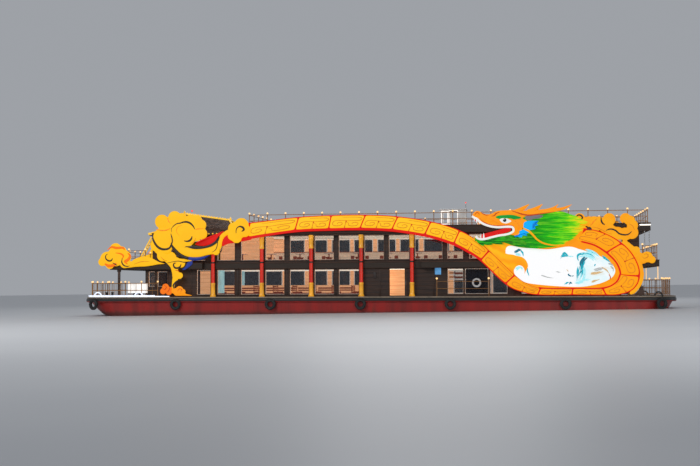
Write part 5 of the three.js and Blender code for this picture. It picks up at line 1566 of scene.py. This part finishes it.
mane = Piece()
mane.add(panel(MANE_OUTLINE, MANE_BACK, MANE_FRONT, 0.03, 0.04, 4), MANE)
chance = random.Random(MANE_SEED)
flows = [[(point.x, point.y) for point in curve_through(rows, 12)] for rows in FLOWS]
licks = []
for _ in range(FLAME_COUNT):
    row, share = divmod(chance.uniform(0, len(flows) - 1.001), 1)
    upper, lower = flows[int(row)], flows[int(row) + 1]
    guide = [(a[0] + (b[0] - a[0]) * share, a[1] + (b[1] - a[1]) * share) for a, b in zip(upper, lower)]
    start = chance.uniform(0, 0.72) ** 0.9
    reach = min(1 - start, chance.uniform(0.2, 0.42))
    bend = chance.uniform(-0.07, 0.07)
    guide = [(x, h + bend * math.sin(6 * i / len(guide))) for i, (x, h) in enumerate(guide)]
    half = chance.uniform(0.045, 0.11)
    licks.append(flame(guide, start, reach, half, 5.27 + 0.05 * start + chance.uniform(0, 0.03)))
mane.add(joined(*licks), MANE)
mane.place_pair("mane_flames", "lantern_green", ["dragon_mane"])

DARK_FERN, LOCKS = beard_silk(), 7
beard = Piece()
for rows in BEARD:
    guide = [(point.x, point.y) for point in curve_through(rows, 8)]
    for k in range(LOCKS):
        drop = [(x, h + 0.03 * (k - LOCKS // 2)) for x, h in guide]
        beard.add(flame(drop, 0.04 * k, 0.9 - 0.05 * k, 0.07, BEARD_Y), DARK_FERN)
beard.place_pair("beard_locks", "lantern_green")


# The head

SKULL = [
    (8.3, 6.2), (8.36, 6.43), (8.56, 6.61), (8.83, 6.61), (9.05, 6.47), (9.44, 6.35), (9.79, 6.41),
    (10.1, 6.56), (10.45, 6.63), (11.19, 6.66), (11.8, 6.66), (12.2, 6.5), (12.41, 6.23), (12.1, 6.0),
    (12.45, 5.83), (12.22, 5.6), (12.33, 5.42), (12.1, 5.25), (12.08, 5.08), (11.86, 5.02), (11.87, 4.82),
    (11.61, 4.6), (11.45, 4.72), (11.15, 4.78), (11.45, 5.0), (11.5, 5.2), (11.4, 5.4), (10.83, 5.42),
    (10.31, 5.38), (9.78, 5.43), (9.26, 5.6), (8.91, 5.8), (8.65, 6.05),
]
UPPER_LIP = [
    (8.27, 6.22), (8.42, 6.12), (8.65, 6.0), (8.91, 5.76), (9.26, 5.56), (9.78, 5.4), (10.31, 5.34),
    (10.83, 5.37), (11.28, 5.35), (11.42, 5.22), (11.4, 5.02), (11.15, 4.86), (10.85, 4.78), (10.3, 4.7),
    (9.77, 4.58), (9.3, 4.46), (8.95, 4.43), (8.68, 4.52), (8.56, 4.68),
]
TONGUE = [(8.88, 4.55), (9.0, 4.78), (9.29, 4.88), (9.78, 5.0), (10.3, 5.14), (10.74, 5.25), (11.09, 5.28),
          (11.26, 5.16), (11.15, 5.02), (10.83, 4.9), (10.3, 4.78), (9.78, 4.66), (9.3, 4.54)]
UPPER_GUM = [(8.38, 6.12), (8.55, 6.04), (8.72, 5.92), (8.66, 5.76), (8.52, 5.84), (8.4, 5.95)]
TEETH = [(8.62, 5.95, 8.66, 5.62, 0.06), (8.8, 5.84, 8.84, 5.58, 0.045), (8.46, 6.02, 8.46, 5.82, 0.04),
         (9.16, 4.52, 9.16, 4.93, 0.065), (8.93, 4.48, 8.95, 4.86, 0.045)]
ANTLER = [
    [(11.1, 6.45, 0.2), (12.0, 6.4, 0.22), (12.7, 6.4, 0.2), (13.5, 6.5, 0.18), (14.3, 6.58, 0.16),
     (15.1, 6.7, 0.12), (15.5, 6.84, 0.09), (15.86, 7.02, 0.02)],
    [(11.4, 6.5, 0.14), (11.9, 6.66, 0.15), (12.3, 6.86, 0.12), (12.64, 7.08, 0.04)],
    [(12.5, 6.52, 0.16), (12.95, 6.66, 0.15), (13.35, 6.86, 0.11), (13.66, 7.08, 0.03)],
    [(13.95, 6.6, 0.13), (14.35, 6.7, 0.12), (14.62, 6.86, 0.08), (14.84, 7.05, 0.02)],
]
RUFFLES = [
    (AZURE, [(12.2, 5.66), (12.58, 5.8), (13.32, 5.79), (13.14, 5.62), (13.3, 5.48), (13.01, 5.36),
             (13.1, 5.2), (12.57, 5.1), (12.2, 5.22)]),
    (AZURE, [(11.55, 4.62), (11.87, 4.86), (11.92, 5.06), (12.31, 5.16), (12.7, 4.96), (12.39, 4.84),
             (12.46, 4.68), (12.13, 4.71), (12.04, 4.55), (11.75, 4.6)]),
    (SLATE, [(12.3, 6.12), (12.76, 6.28), (13.3, 6.26), (13.7, 6.18), (13.41, 5.99), (12.93, 5.94),
             (12.67, 5.82), (12.4, 5.9)]),
]
BROW = [
    (10.08, 6.12), (10.35, 6.24), (10.84, 6.27), (11.19, 6.28), (11.6, 6.22), (12.05, 6.04), (11.54, 5.92),
    (11.19, 6.0), (10.66, 6.02), (10.35, 5.98),
]
EYE = [
    (10.4, 5.95), (10.6, 6.06), (10.9, 6.02), (11.1, 5.93), (11.27, 5.8), (11.1, 5.68), (10.85, 5.62),
    (10.6, 5.68), (10.45, 5.8),
]
# Painted shade lines along the folds of the head.
SHADE_CONTOURS = [
    ([(8.5, 6.3), (8.6, 6.46), (8.76, 6.46), (8.84, 6.32)], [0.015, 0.035, 0.015]),
    ([(8.98, 6.5), (9.1, 6.4), (9.35, 6.28), (9.6, 6.3)], [0.01, 0.04, 0.01]),
    ([(9.75, 6.2), (9.98, 6.24), (10.12, 6.4), (10.4, 6.5)], [0.01, 0.05, 0.02]),
    ([(8.85, 6.06), (9.16, 5.76), (9.56, 5.56), (10.03, 5.47), (10.6, 5.47), (11.1, 5.5), (11.45, 5.4)],
     [0.01, 0.035, 0.03, 0.03, 0.01]),
    ([(9.6, 6.02), (10.0, 5.8), (10.3, 5.62), (10.7, 5.52), (11.1, 5.56)], [0.01, 0.025, 0.01]),
    ([(11.3, 6.6), (11.7, 6.45), (12.1, 6.32), (12.6, 6.24), (13.2, 6.3), (13.8, 6.38), (14.5, 6.46)],
     [0.015, 0.05, 0.06, 0.05, 0.015]),
    ([(11.9, 6.58), (12.25, 6.66), (12.5, 6.82)], [0.01, 0.03, 0.01]),
    ([(12.95, 6.56), (13.25, 6.66), (13.5, 6.82)], [0.01, 0.03, 0.01]),
    ([(11.35, 5.85), (11.7, 5.7), (11.85, 5.4), (11.75, 5.1), (11.5, 4.9)], [0.01, 0.025, 0.01]),
    ([(11.6, 5.98), (11.95, 5.9), (12.2, 5.98)], [0.01, 0.03, 0.01]),
]
WHISKER = [
    (12.15, 5.24), (12.4, 5.12), (12.66, 4.96), (12.95, 4.66), (13.2, 4.38), (13.69, 4.08), (14.46, 3.92),
    (15.32, 3.97),
]
# Rows: x, height and radius
BUMPS = [
    (8.64, 6.4, 0.21), (9.15, 6.12, 0.26), (10.5, 6.32, 0.28), (11.3, 6.3, 0.3), (11.8, 5.62, 0.4),
    (10.2, 5.85, 0.26), (9.7, 6.0, 0.26),
]
BUMP_BACK, MOUTH_FRONT, ANTLER_Y, FACE_FRONT, SKULL_FRONT = 5.36, 5.42, 5.43, 5.44, 5.45
PUPIL, GLINT, LIP_HALF = (10.77, 5.53, DECK + 5.87), (10.71, 5.57, DECK + 5.93), 0.085
WHISKER_HALVES = [0.06, 0.08, 0.075, 0.06, 0.03]

head = Piece()
bumps = [lobe(*bump, BUMP_BACK, FACE_FRONT, 0.07) for bump in BUMPS]
head.add(melted(joined(panel(SKULL, HEAD_BACK, SKULL_FRONT, steps=4), *bumps), 0.035, 6), AMBER)
head.add(panel(BROW, BROW_BACK, 5.54, 0.02, 0.015, 4), FERN)
head.add(panel(EYE, BROW_BACK, 5.53, 0.02, 0.015, 4), WHITE)
head.add(ball(0.15), BLACK_AND_SHADE, Matrix.Translation(PUPIL) @ Matrix.Diagonal((1, 0.35, 1, 1)))
head.add(ball(0.035), WHITE, Matrix.Translation(GLINT))
head.add(stroke([(*spot, LIP_HALF) for spot in UPPER_LIP], FACE_FRONT, 5, 0.8), WHITE)
head.add(panel(TONGUE, TONGUE_BACK, MOUTH_FRONT, 0.04, 0.02, 4), RED)
head.add(panel(UPPER_GUM, TONGUE_BACK, MOUTH_FRONT, 0.03, 0.02, 4), RED)
for x0, h0, x1, h1, half in TEETH:
    spots = [(x0, h0), ((x0 + x1) / 2, (h0 + h1) / 2), (x1, h1)]
    head.add(pipe(on_side(spots, BROW_BACK), [half, 0.8 * half, 0.008], flat=0.7), WHITE)
for finish, outline in RUFFLES:
    head.add(panel(outline, 5.342, MOUTH_FRONT, 0.05, 0.025, 3), finish)
head.add(melted(joined(*[stroke(rows, ANTLER_Y, 7) for rows in ANTLER]), 0.03, 4), AMBER)
head.add(pipe(on_side(curve_through(WHISKER, 6), WHISKER_Y), WHISKER_HALVES), YELLOW)
# Painted shade lines: rust where they are thick, orange where they are thin.
for rows, halves in SHADE_CONTOURS:
    trace(head, rows, RUST if halves[1] > 0.03 else CREASE_SHADE, halves)
head.place_pair("dragon_mask", "lantern_white", ["dragon_head"])


# Clouds: puffed lobes run together, with painted scrolls and painted shade

def puffs(rows, front, crown=0.09, back=CLOUD_BACK):
    """Pillows side by side; their rows are x, height and radius, and the later ones stand further out."""
    step = 0.02 / max(1, len(rows) - 1)
    return [lobe(*row, back, front + step * i, crown) for i, row in enumerate(rows)]


def puffed_band(rows, front):
    """A band with a rounded face, for ribbons and tails of cloud; its rows are x, height and half width."""
    section = [(-1, CLOUD_BACK), (-1, front - 0.05), (-0.9, front), (-0.5, front + 0.04), (0, front + 0.055),
               (0.5, front + 0.04), (0.9, front), (1, front - 0.05), (1, CLOUD_BACK)]
    return Band(rows, 6).solid(section)


BIG_LOBES = [
    (-16.62, 6.12, 0.57), (-15.56, 6.45, 0.52), (-14.95, 6.4, 0.4), (-14.2, 6.2, 0.47), (-13.72, 6.14, 0.46),
    (-13.37, 5.8, 0.44), (-13.28, 5.1, 0.44), (-13.75, 4.98, 0.48), (-15.5, 5.7, 0.85), (-14.3, 5.7, 0.85),
    (-17.05, 4.2, 0.5), (-16.2, 3.9, 0.4), (-15.25, 4.6, 0.85), (-16.48, 4.78, 0.87), (-14.78, 5.0, 1.02),
]
BIG_RIBBON = [
    (-15.9, 4.5, 0.2), (-15.5, 4.25, 0.33), (-15.0, 3.85, 0.37), (-14.3, 3.6, 0.35), (-13.6, 3.56, 0.32),
    (-12.95, 3.68, 0.3), (-12.35, 3.82, 0.31), (-11.95, 4.1, 0.28), (-11.78, 4.5, 0.19),
    (-11.62, 4.85, 0.18), (-11.3, 5.13, 0.18), (-10.95, 5.28, 0.2),
]
# Painted shade: the dark underside of the great cloud's ribbon.
RIBBON_UNDERSIDE_SHADE = [
    (-15.8, 4.36, 0.02), (-15.68, 4.1, 0.09), (-15.45, 3.78, 0.13), (-15.1, 3.46, 0.13), (-14.7, 3.24, 0.13),
    (-14.35, 3.14, 0.12),
]
UNDER_EDGE = [
    (-14.42, 3.16, 0.12), (-14.0, 3.1, 0.13), (-13.5, 3.12, 0.12), (-13.1, 3.2, 0.09), (-12.66, 3.38, 0.02),
]
RED_UPPER = [(-13.81, 4.25), (-13.58, 4.5), (-13.13, 4.71), (-12.53, 4.93), (-11.93, 5.14), (-11.5, 5.3),
             (-11.86, 4.77), (-12.23, 4.45), (-12.68, 4.24), (-13.21, 4.13)]
# Painted shadow: a dark band between the red piece and the ribbon.
SHADOW_UNDER_RED = [(-14.56, 4.08), (-14.2, 4.12), (-13.88, 4.14), (-13.13, 4.08), (-12.53, 4.27), (-12.08, 4.56),
              (-11.8, 4.85), (-11.93, 4.45), (-12.38, 4.12), (-12.83, 3.97), (-13.43, 3.88), (-14.03, 3.93)]
RED_RIGHT = [
    (-11.62, 4.1), (-11.62, 4.5), (-11.43, 4.81), (-11.19, 4.97), (-10.9, 5.0), (-10.2, 4.9), (-9.4, 4.86),
    (-9.26, 4.62), (-9.9, 4.48), (-10.47, 4.38), (-11.19, 4.27),
]
BIG_LINES = [
    (BLACK_AND_SHADE, [(-15.77, 5.25), (-15.76, 5.54), (-15.58, 5.76), (-15.32, 5.93), (-15.02, 5.98), (-14.79, 6.05),
            (-14.49, 6.06), (-14.19, 5.94), (-13.96, 5.71), (-13.83, 5.46)],
     [0.012, 0.025, 0.035, 0.045, 0.055, 0.075, 0.08, 0.06, 0.02]),
    (BLACK_AND_SHADE, [(-14.73, 4.55), (-14.49, 4.51), (-14.26, 4.56), (-14.11, 4.72), (-14.06, 4.92)],
     [0.02, 0.06, 0.085, 0.07, 0.02]),
    # Painted shadow: a dark crescent round the bottom of the great left lobe.
    (BLACK_AND_SHADE, [(-17.36, 5.2), (-17.31, 4.75), (-17.1, 4.31), (-16.79, 4.0), (-16.41, 3.88), (-15.99, 3.95),
            (-15.77, 4.23), (-15.69, 4.56), (-15.75, 4.89), (-15.83, 5.15)],
     [0.03, 0.07, 0.09, 0.095, 0.09, 0.08, 0.06, 0.05, 0.05, 0.015]),
    (BLACK_AND_SHADE, [(-12.42, 3.62), (-12.14, 3.79), (-12.0, 4.08), (-11.95, 4.45)], [0.012, 0.03, 0.035, 0.03]),
    (BLACK_AND_SHADE, [(-11.86, 3.42), (-11.68, 3.72), (-11.61, 4.12)], [0.012, 0.04, 0.03]),
    # Painted shade in the creases between the great cloud's lobes.
    (CREASE_SHADE, [(-17.05, 5.5), (-16.6, 5.4), (-16.2, 5.42), (-15.85, 5.56)], [0.02, 0.05, 0.05, 0.02]),
    (CREASE_SHADE, [(-16.12, 6.42), (-16.02, 6.15), (-15.85, 5.95)], [0.02, 0.035, 0.01]),
    (CREASE_SHADE, [(-13.82, 5.42), (-13.55, 5.5), (-13.1, 5.5)], [0.02, 0.04, 0.015]),
    (CREASE_SHADE, [(-13.75, 4.75), (-13.9, 4.5), (-14.2, 4.3)], [0.02, 0.04, 0.015]),
    (CREASE_SHADE, [(-15.1, 4.95), (-15.35, 5.3), (-15.25, 5.65), (-14.9, 5.8)], [0.01, 0.025, 0.01]),
]

big = Piece()
big.add(melted(joined(*puffs(BIG_LOBES, 5.12), puffed_band(BIG_RIBBON, 5.16),
                      lobe(-12.12, 3.68, 0.3, CLOUD_BACK, 5.14, 0.05))), YELLOW)
# Painted shade on the ribbon's underside.
big.add(puffed_band(RIBBON_UNDERSIDE_SHADE, 5.26), BLACK_AND_SHADE)
big.add(puffed_band(UNDER_EDGE, 5.2), INDIGO)
big.add(panel(RED_UPPER, CLOUD_BACK, 5.1, 0.04, 0.03, 4), RED)
# Painted shadow between the red piece and the ribbon.
big.add(panel(SHADOW_UNDER_RED, CLOUD_BACK, 5.22, 0.01, 0.02, 4), BLACK_AND_SHADE)
big.add(panel(RED_RIGHT, CLOUD_BACK, 5.08, 0.04, 0.03, 4), RED)
draw(big, BIG_LINES)
big.place_pair("great_cloud", "lantern_yellow", ["big_cloud"])

LEG_LOBES = [
    (-16.9, 3.95, 0.42), (-16.55, 3.4, 0.5), (-15.9, 3.2, 0.5), (-15.5, 2.75, 0.52), (-15.0, 2.72, 0.32),
    (-15.12, 1.76, 0.27),
]
LEG = [(-16.9, 4.0, 0.4), (-16.3, 3.4, 0.42), (-15.65, 2.75, 0.42), (-15.55, 2.2, 0.29), (-15.46, 1.7, 0.3),
       (-15.64, 1.2, 0.15), (-15.7, 0.72, 0.11)]
LEG_BLUE = [
    (-14.08, 3.0), (-14.1, 2.68), (-14.39, 2.42), (-14.7, 2.24), (-14.95, 2.2), (-14.66, 2.5), (-14.45, 2.9),
]
LEG_SPUR = [(-15.6, 2.95, 0.2), (-14.9, 2.98, 0.17), (-14.3, 2.96, 0.07), (-14.1, 3.0, 0.02)]
FLAME_LOBES = [(-16.3, 0.85, 0.28), (-16.5, 0.52, 0.25), (-16.02, 0.45, 0.25), (-15.9, 0.7, 0.16)]
GLOW_LOBES = [(-15.6, 0.55, 0.24), (-15.15, 0.62, 0.31), (-14.86, 0.48, 0.22), (-15.4, 0.35, 0.2)]
FLAME_TAIL = [(-15.3, 0.25, 0.12), (-14.8, 0.24, 0.1), (-14.4, 0.2, 0.06), (-14.1, 0.17, 0.015)]
LEG_LINES = [
    (BLACK_AND_SHADE, [(-15.4, 2.78), (-15.57, 2.75), (-15.62, 2.58), (-15.5, 2.4), (-15.27, 2.38), (-15.07, 2.5),
            (-14.99, 2.7)], [0.015, 0.05, 0.06, 0.075, 0.08, 0.06, 0.02]),
    (BLACK_AND_SHADE, [(-16.22, 2.77), (-15.76, 2.86), (-15.23, 2.93), (-14.78, 2.84), (-14.3, 2.9)],
     [0.01, 0.025, 0.03, 0.04, 0.02]),
    (RUST, [(-15.5, 2.2), (-15.32, 2.17), (-15.14, 2.1)], [0.01, 0.03, 0.02]),
    (BLACK_AND_SHADE, [(-14.85, 1.68), (-15.08, 1.44), (-15.38, 1.31), (-15.57, 1.12), (-15.65, 0.91), (-15.55, 0.7)],
     [0.02, 0.05, 0.06, 0.07, 0.06, 0.02]),
    (RUST, [(-16.4, 1.05), (-16.2, 0.85), (-16.35, 0.65), (-16.5, 0.75)], [0.01, 0.035, 0.01]),
    (RUST, [(-16.15, 0.42), (-15.98, 0.6), (-15.9, 0.85)], [0.01, 0.035, 0.02]),
    (RUST, [(-15.3, 0.5), (-15.1, 0.72), (-14.9, 0.62), (-15.02, 0.48)], [0.01, 0.03, 0.01]),
    (OCHRE, [(-16.7, 3.3), (-16.45, 3.05), (-16.15, 2.95)], [0.01, 0.03, 0.01]),
]
leg = Piece()
leg.add(panel(LEG_BLUE, PLAIN_BACK, 5.0, 0.01, 0.02), INDIGO)
leg.add(melted(joined(*puffs(LEG_LOBES, 5.03, 0.06), puffed_band(LEG, 5.05),
                      puffed_band(LEG_SPUR, 5.03))), YELLOW)
leg.add(melted(joined(*puffs(FLAME_LOBES, 5.06, 0.07)), 0.04), FLAME)
leg.add(melted(joined(*puffs(GLOW_LOBES, 5.05, 0.07), puffed_band(FLAME_TAIL, 5.04)), 0.04), AMBER)
draw(leg, LEG_LINES)
leg.place_pair("leg_cloud_puffs", "lantern_yellow", ["leg_cloud"])

BOW_LOBES = [
    (-20.5, 3.95, 0.48), (-20.05, 3.68, 0.5), (-19.7, 3.3, 0.52), (-21.2, 3.15, 0.6), (-21.62, 2.9, 0.34),
    (-20.98, 2.66, 0.34), (-19.75, 2.75, 0.36), (-20.45, 3.05, 0.5), (-20.65, 3.4, 0.58),
]
BOW_SWOOSH = [
    (-19.8, 2.62, 0.24), (-19.2, 2.68, 0.24), (-18.66, 2.85, 0.36), (-18.0, 2.93, 0.42), (-17.4, 2.86, 0.28),
    (-16.87, 2.78, 0.1), (-16.36, 2.73, 0.02),
]
BOW_LINES = [
    # Painted shade: orange-red strokes on the bow cloud's lobes.
    (FLAME, [(-21.16, 3.88), (-20.82, 4.1), (-20.39, 4.03), (-19.85, 4.03), (-19.72, 3.85)],
     [0.03, 0.08, 0.1, 0.09, 0.03]),
    (FLAME, [(-19.44, 3.6), (-19.25, 3.37), (-19.43, 3.06), (-19.66, 2.92), (-19.45, 2.72)],
     [0.03, 0.1, 0.12, 0.1, 0.03]),
    (FLAME, [(-21.37, 2.76), (-21.02, 2.58), (-20.6, 2.64), (-20.38, 2.8)], [0.04, 0.13, 0.11, 0.03]),
    (FLAME, [(-20.47, 3.63), (-20.04, 3.56), (-19.8, 3.37), (-19.93, 3.13)], [0.02, 0.06, 0.07, 0.02]),
    (BLACK_AND_SHADE, [(-21.12, 3.55), (-21.28, 3.43), (-21.28, 3.18), (-21.07, 3.0), (-20.83, 3.01), (-20.7, 3.2)],
     [0.015, 0.035, 0.05, 0.065, 0.06, 0.02]),
    (BLACK_AND_SHADE, [(-19.88, 3.21), (-19.93, 2.88), (-19.76, 2.62), (-19.47, 2.53), (-19.26, 2.59)],
     [0.015, 0.05, 0.055, 0.04, 0.01]),
    (BLACK_AND_SHADE, [(-20.71, 2.82), (-20.51, 2.73), (-20.33, 2.62)], [0.02, 0.05, 0.02]),
    (OCHRE, [(-18.9, 2.7), (-18.3, 2.9), (-17.6, 2.9)], [0.01, 0.03, 0.01]),
]
bow = Piece()
bow.add(melted(joined(*puffs(BOW_LOBES, 5.08, 0.08), puffed_band(BOW_SWOOSH, 5.1))), YELLOW)
draw(bow, BOW_LINES)
bow.place_pair("bow_cloud_puffs", "lantern_yellow", ["bow_cloud"])

BLOSSOM = [
    (-10.0, 5.72, 0.62), (-9.72, 5.3, 0.52), (-10.38, 4.72, 0.42), (-10.68, 4.95, 0.45), (-10.6, 5.5, 0.5),
    (-10.1, 5.2, 0.5), (-10.0, 5.42, 0.55),
]
BLOSSOM_LINES = [
    (BLACK_AND_SHADE, [(-10.4, 5.1), (-10.4, 5.35), (-10.3, 5.55), (-10.08, 5.64), (-9.85, 5.55), (-9.77, 5.38),
            (-9.95, 5.24)], [0.02, 0.035, 0.04, 0.06, 0.085, 0.08, 0.03]),
]
blossom = Piece()
blossom.add(melted(joined(*puffs(BLOSSOM, 5.26, 0.08, MANE_BACK))), YELLOW)
draw(blossom, BLOSSOM_LINES)
blossom.place_pair("blossom_puffs", "lantern_yellow", ["blossom_cloud"])

STERN_LOBES = [
    (16.43, 5.95, 0.42), (16.85, 5.72, 0.36), (17.15, 5.73, 0.4), (17.52, 5.71, 0.42), (17.88, 5.67, 0.43),
    (17.5, 5.3, 0.46), (18.3, 5.3, 0.45), (18.64, 5.87, 0.48), (18.75, 4.95, 0.5), (19.25, 4.8, 0.5),
    (19.8, 4.74, 0.5), (20.3, 4.85, 0.5), (20.36, 5.4, 0.42), (20.2, 5.78, 0.36), (19.84, 5.92, 0.42),
    (20.6, 3.5, 0.3), (20.85, 3.05, 0.3), (21.12, 2.76, 0.28), (21.4, 2.99, 0.42), (21.75, 2.78, 0.28),
]
STERN_RIM = [
    (19.6, 4.2, 0.24), (20.3, 3.6, 0.24), (20.62, 3.0, 0.22), (20.85, 2.4, 0.2), (20.96, 1.85, 0.2),
    (20.92, 1.3, 0.2), (20.68, 0.78, 0.2), (20.36, 0.42, 0.2), (20.1, 0.2, 0.1),
]
STERN_FOOT = [(20.4, 0.12), (20.75, 0.5), (21.1, 0.85), (21.15, 0.1)]
STERN_LINES = [
    (BLACK_AND_SHADE, [(16.19, 6.0), (16.26, 6.18), (16.43, 6.22), (16.59, 6.13), (16.63, 5.98), (16.5, 5.88),
            (16.36, 5.93)], [0.02, 0.05, 0.06, 0.06, 0.05, 0.03]),
    (BLACK_AND_SHADE, [(18.03, 6.05), (18.05, 5.75), (18.15, 5.56), (18.31, 5.46)], [0.02, 0.065, 0.06, 0.03]),
    (BLACK_AND_SHADE, [(19.08, 5.68), (19.17, 5.46), (19.43, 5.34), (19.68, 5.36), (19.78, 5.5), (19.66, 5.6)],
     [0.02, 0.05, 0.06, 0.07, 0.08, 0.05]),
    (BLACK_AND_SHADE, [(18.38, 5.02), (18.61, 5.11), (18.85, 5.11), (19.12, 4.99), (19.35, 4.78), (19.69, 4.68),
            (20.02, 4.71), (20.29, 4.93)], [0.015, 0.05, 0.06, 0.06, 0.06, 0.06, 0.05, 0.02]),
    # Painted shade in a crease between the stern lobes.
    (CREASE_SHADE, [(17.75, 5.96), (17.47, 5.69), (17.23, 5.4)], [0.02, 0.045, 0.02]),
    (OCHRE, [(17.4, 5.3), (17.8, 5.2), (18.3, 4.95), (18.8, 4.72)], [0.01, 0.025, 0.01]),
    (OCHRE, [(21.04, 3.0), (21.2, 2.89), (21.44, 3.0), (21.44, 3.17), (21.27, 3.22), (21.17, 3.13)],
     [0.01, 0.03, 0.03, 0.01]),
    (OCHRE, [(20.1, 5.5), (20.35, 5.35), (20.5, 5.05)], [0.01, 0.03, 0.01]),
]
stern = Piece()
stern.add(melted(joined(*puffs(STERN_LOBES, 5.04, 0.07), puffed_band(STERN_RIM, 5.03)), 0.04, 8), YELLOW)
draw(stern, STERN_LINES)
stern.add(lobe(17.14, 5.12, 0.2, 5.05, 5.1, 0.03, 20), BLACK_AND_SHADE)
stern.add(panel(STERN_FOOT, PLAIN_BACK, 5.02, 0.01, 0.02), TRIM)
stern.place_pair("stern_cloud_puffs", "lantern_yellow", ["stern_clouds"])


# Finishes of the CAD pieces that stay

# Rows: finish, nodes that stand alone, and nodes with a twin on the other side
KEPT = [
    (CABIN, ["lower_bow_bulkhead", "lower_stern_bulkhead", "upper_bow_bulkhead", "upper_stern_bulkhead"],
     ["lower_wall", "upper_wall", "side_door", "bow_door"]),
    (GLASS, [], ["lower_glazing", "upper_glazing"]),
    (SUN_BOARDS, ["upper_deck", "sun_deck"], []),
]
for finish, single, paired in KEPT:
    for name in single + [f"{name}_{side}" for name in paired for side in ("starboard", "port")]:
        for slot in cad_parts[name].material_slots:
            slot.material = finish


# Floor at the waterline, sky, lights and camera; from here on in metres of the model

WATER, TRIM_ANGLE, FLOOR_SIZE = 0.59, math.radians(0.72), 400
SKY, SKY_STRENGTH, AIM = (0.62, 0.65, 0.70, 1.0), 0.55, Vector((0, 0, 2))
# Rows: name, place, power and size
LAMPS = [
    ("key", (-14, -26, 17), 2600, 12),
    ("fill", (18, -30, 9), 1300, 14),
    ("back", (0, 26, 16), 1800, 16),
]
VIEW_FROM, FOCAL_LENGTH, SENSOR, FAR = (5.959, -46.655, 1.66), 58.47, 36, 1000
YAW, PITCH, ROLL = math.radians(8.511), math.radians(2.6437), -math.atan(0.0039)

floor_finish = Finish("pale_floor", roughness=0.5)
floor_finish.paint(floor_finish.mix(floor_finish.noise(0.15, 3.0), (0.60, 0.61, 0.63), (0.66, 0.67, 0.68)))
ground = bmesh.new()
bmesh.ops.create_grid(ground, x_segments=1, y_segments=1, size=FLOOR_SIZE,
                      matrix=Matrix.Translation((0, 0, WATER)) @ Matrix.Rotation(-TRIM_ANGLE, 4, "Y"))
ground_mesh = stored(ground)
ground_mesh.name = "floor"
ground_mesh.materials.append(floor_finish.material)
floor = bpy.data.objects.new("floor", ground_mesh)
bpy.context.scene.collection.objects.link(floor)

world = bpy.data.worlds.new("studio")
world.use_nodes = True
sky = world.node_tree.nodes["Background"].inputs
sky["Color"].default_value, sky["Strength"].default_value = SKY, SKY_STRENGTH
bpy.context.scene.world = world
bpy.context.scene.view_settings.view_transform = "Standard"

for name, place, power, size in LAMPS:
    lamp = bpy.data.lights.new(name, "AREA")
    lamp.energy, lamp.size = power, size
    holder = bpy.data.objects.new(name, lamp)
    turn = (AIM - Vector(place)).to_track_quat("-Z", "Y").to_matrix().to_4x4()
    holder.matrix_world = Matrix.Translation(place) @ turn
    bpy.context.scene.collection.objects.link(holder)

lens = bpy.data.cameras.new("viewpoint")
lens.lens, lens.sensor_width, lens.clip_end = FOCAL_LENGTH, SENSOR, FAR
viewpoint = bpy.data.objects.new("viewpoint", lens)
viewpoint.matrix_world = (
    Matrix.Translation(VIEW_FROM) @ Matrix.Rotation(YAW, 4, "Z")
    @ Matrix.Rotation(QUARTER_TURN + PITCH, 4, "X") @ Matrix.Rotation(ROLL, 4, "Z")
)
bpy.context.scene.collection.objects.link(viewpoint)
bpy.context.scene.camera = viewpoint
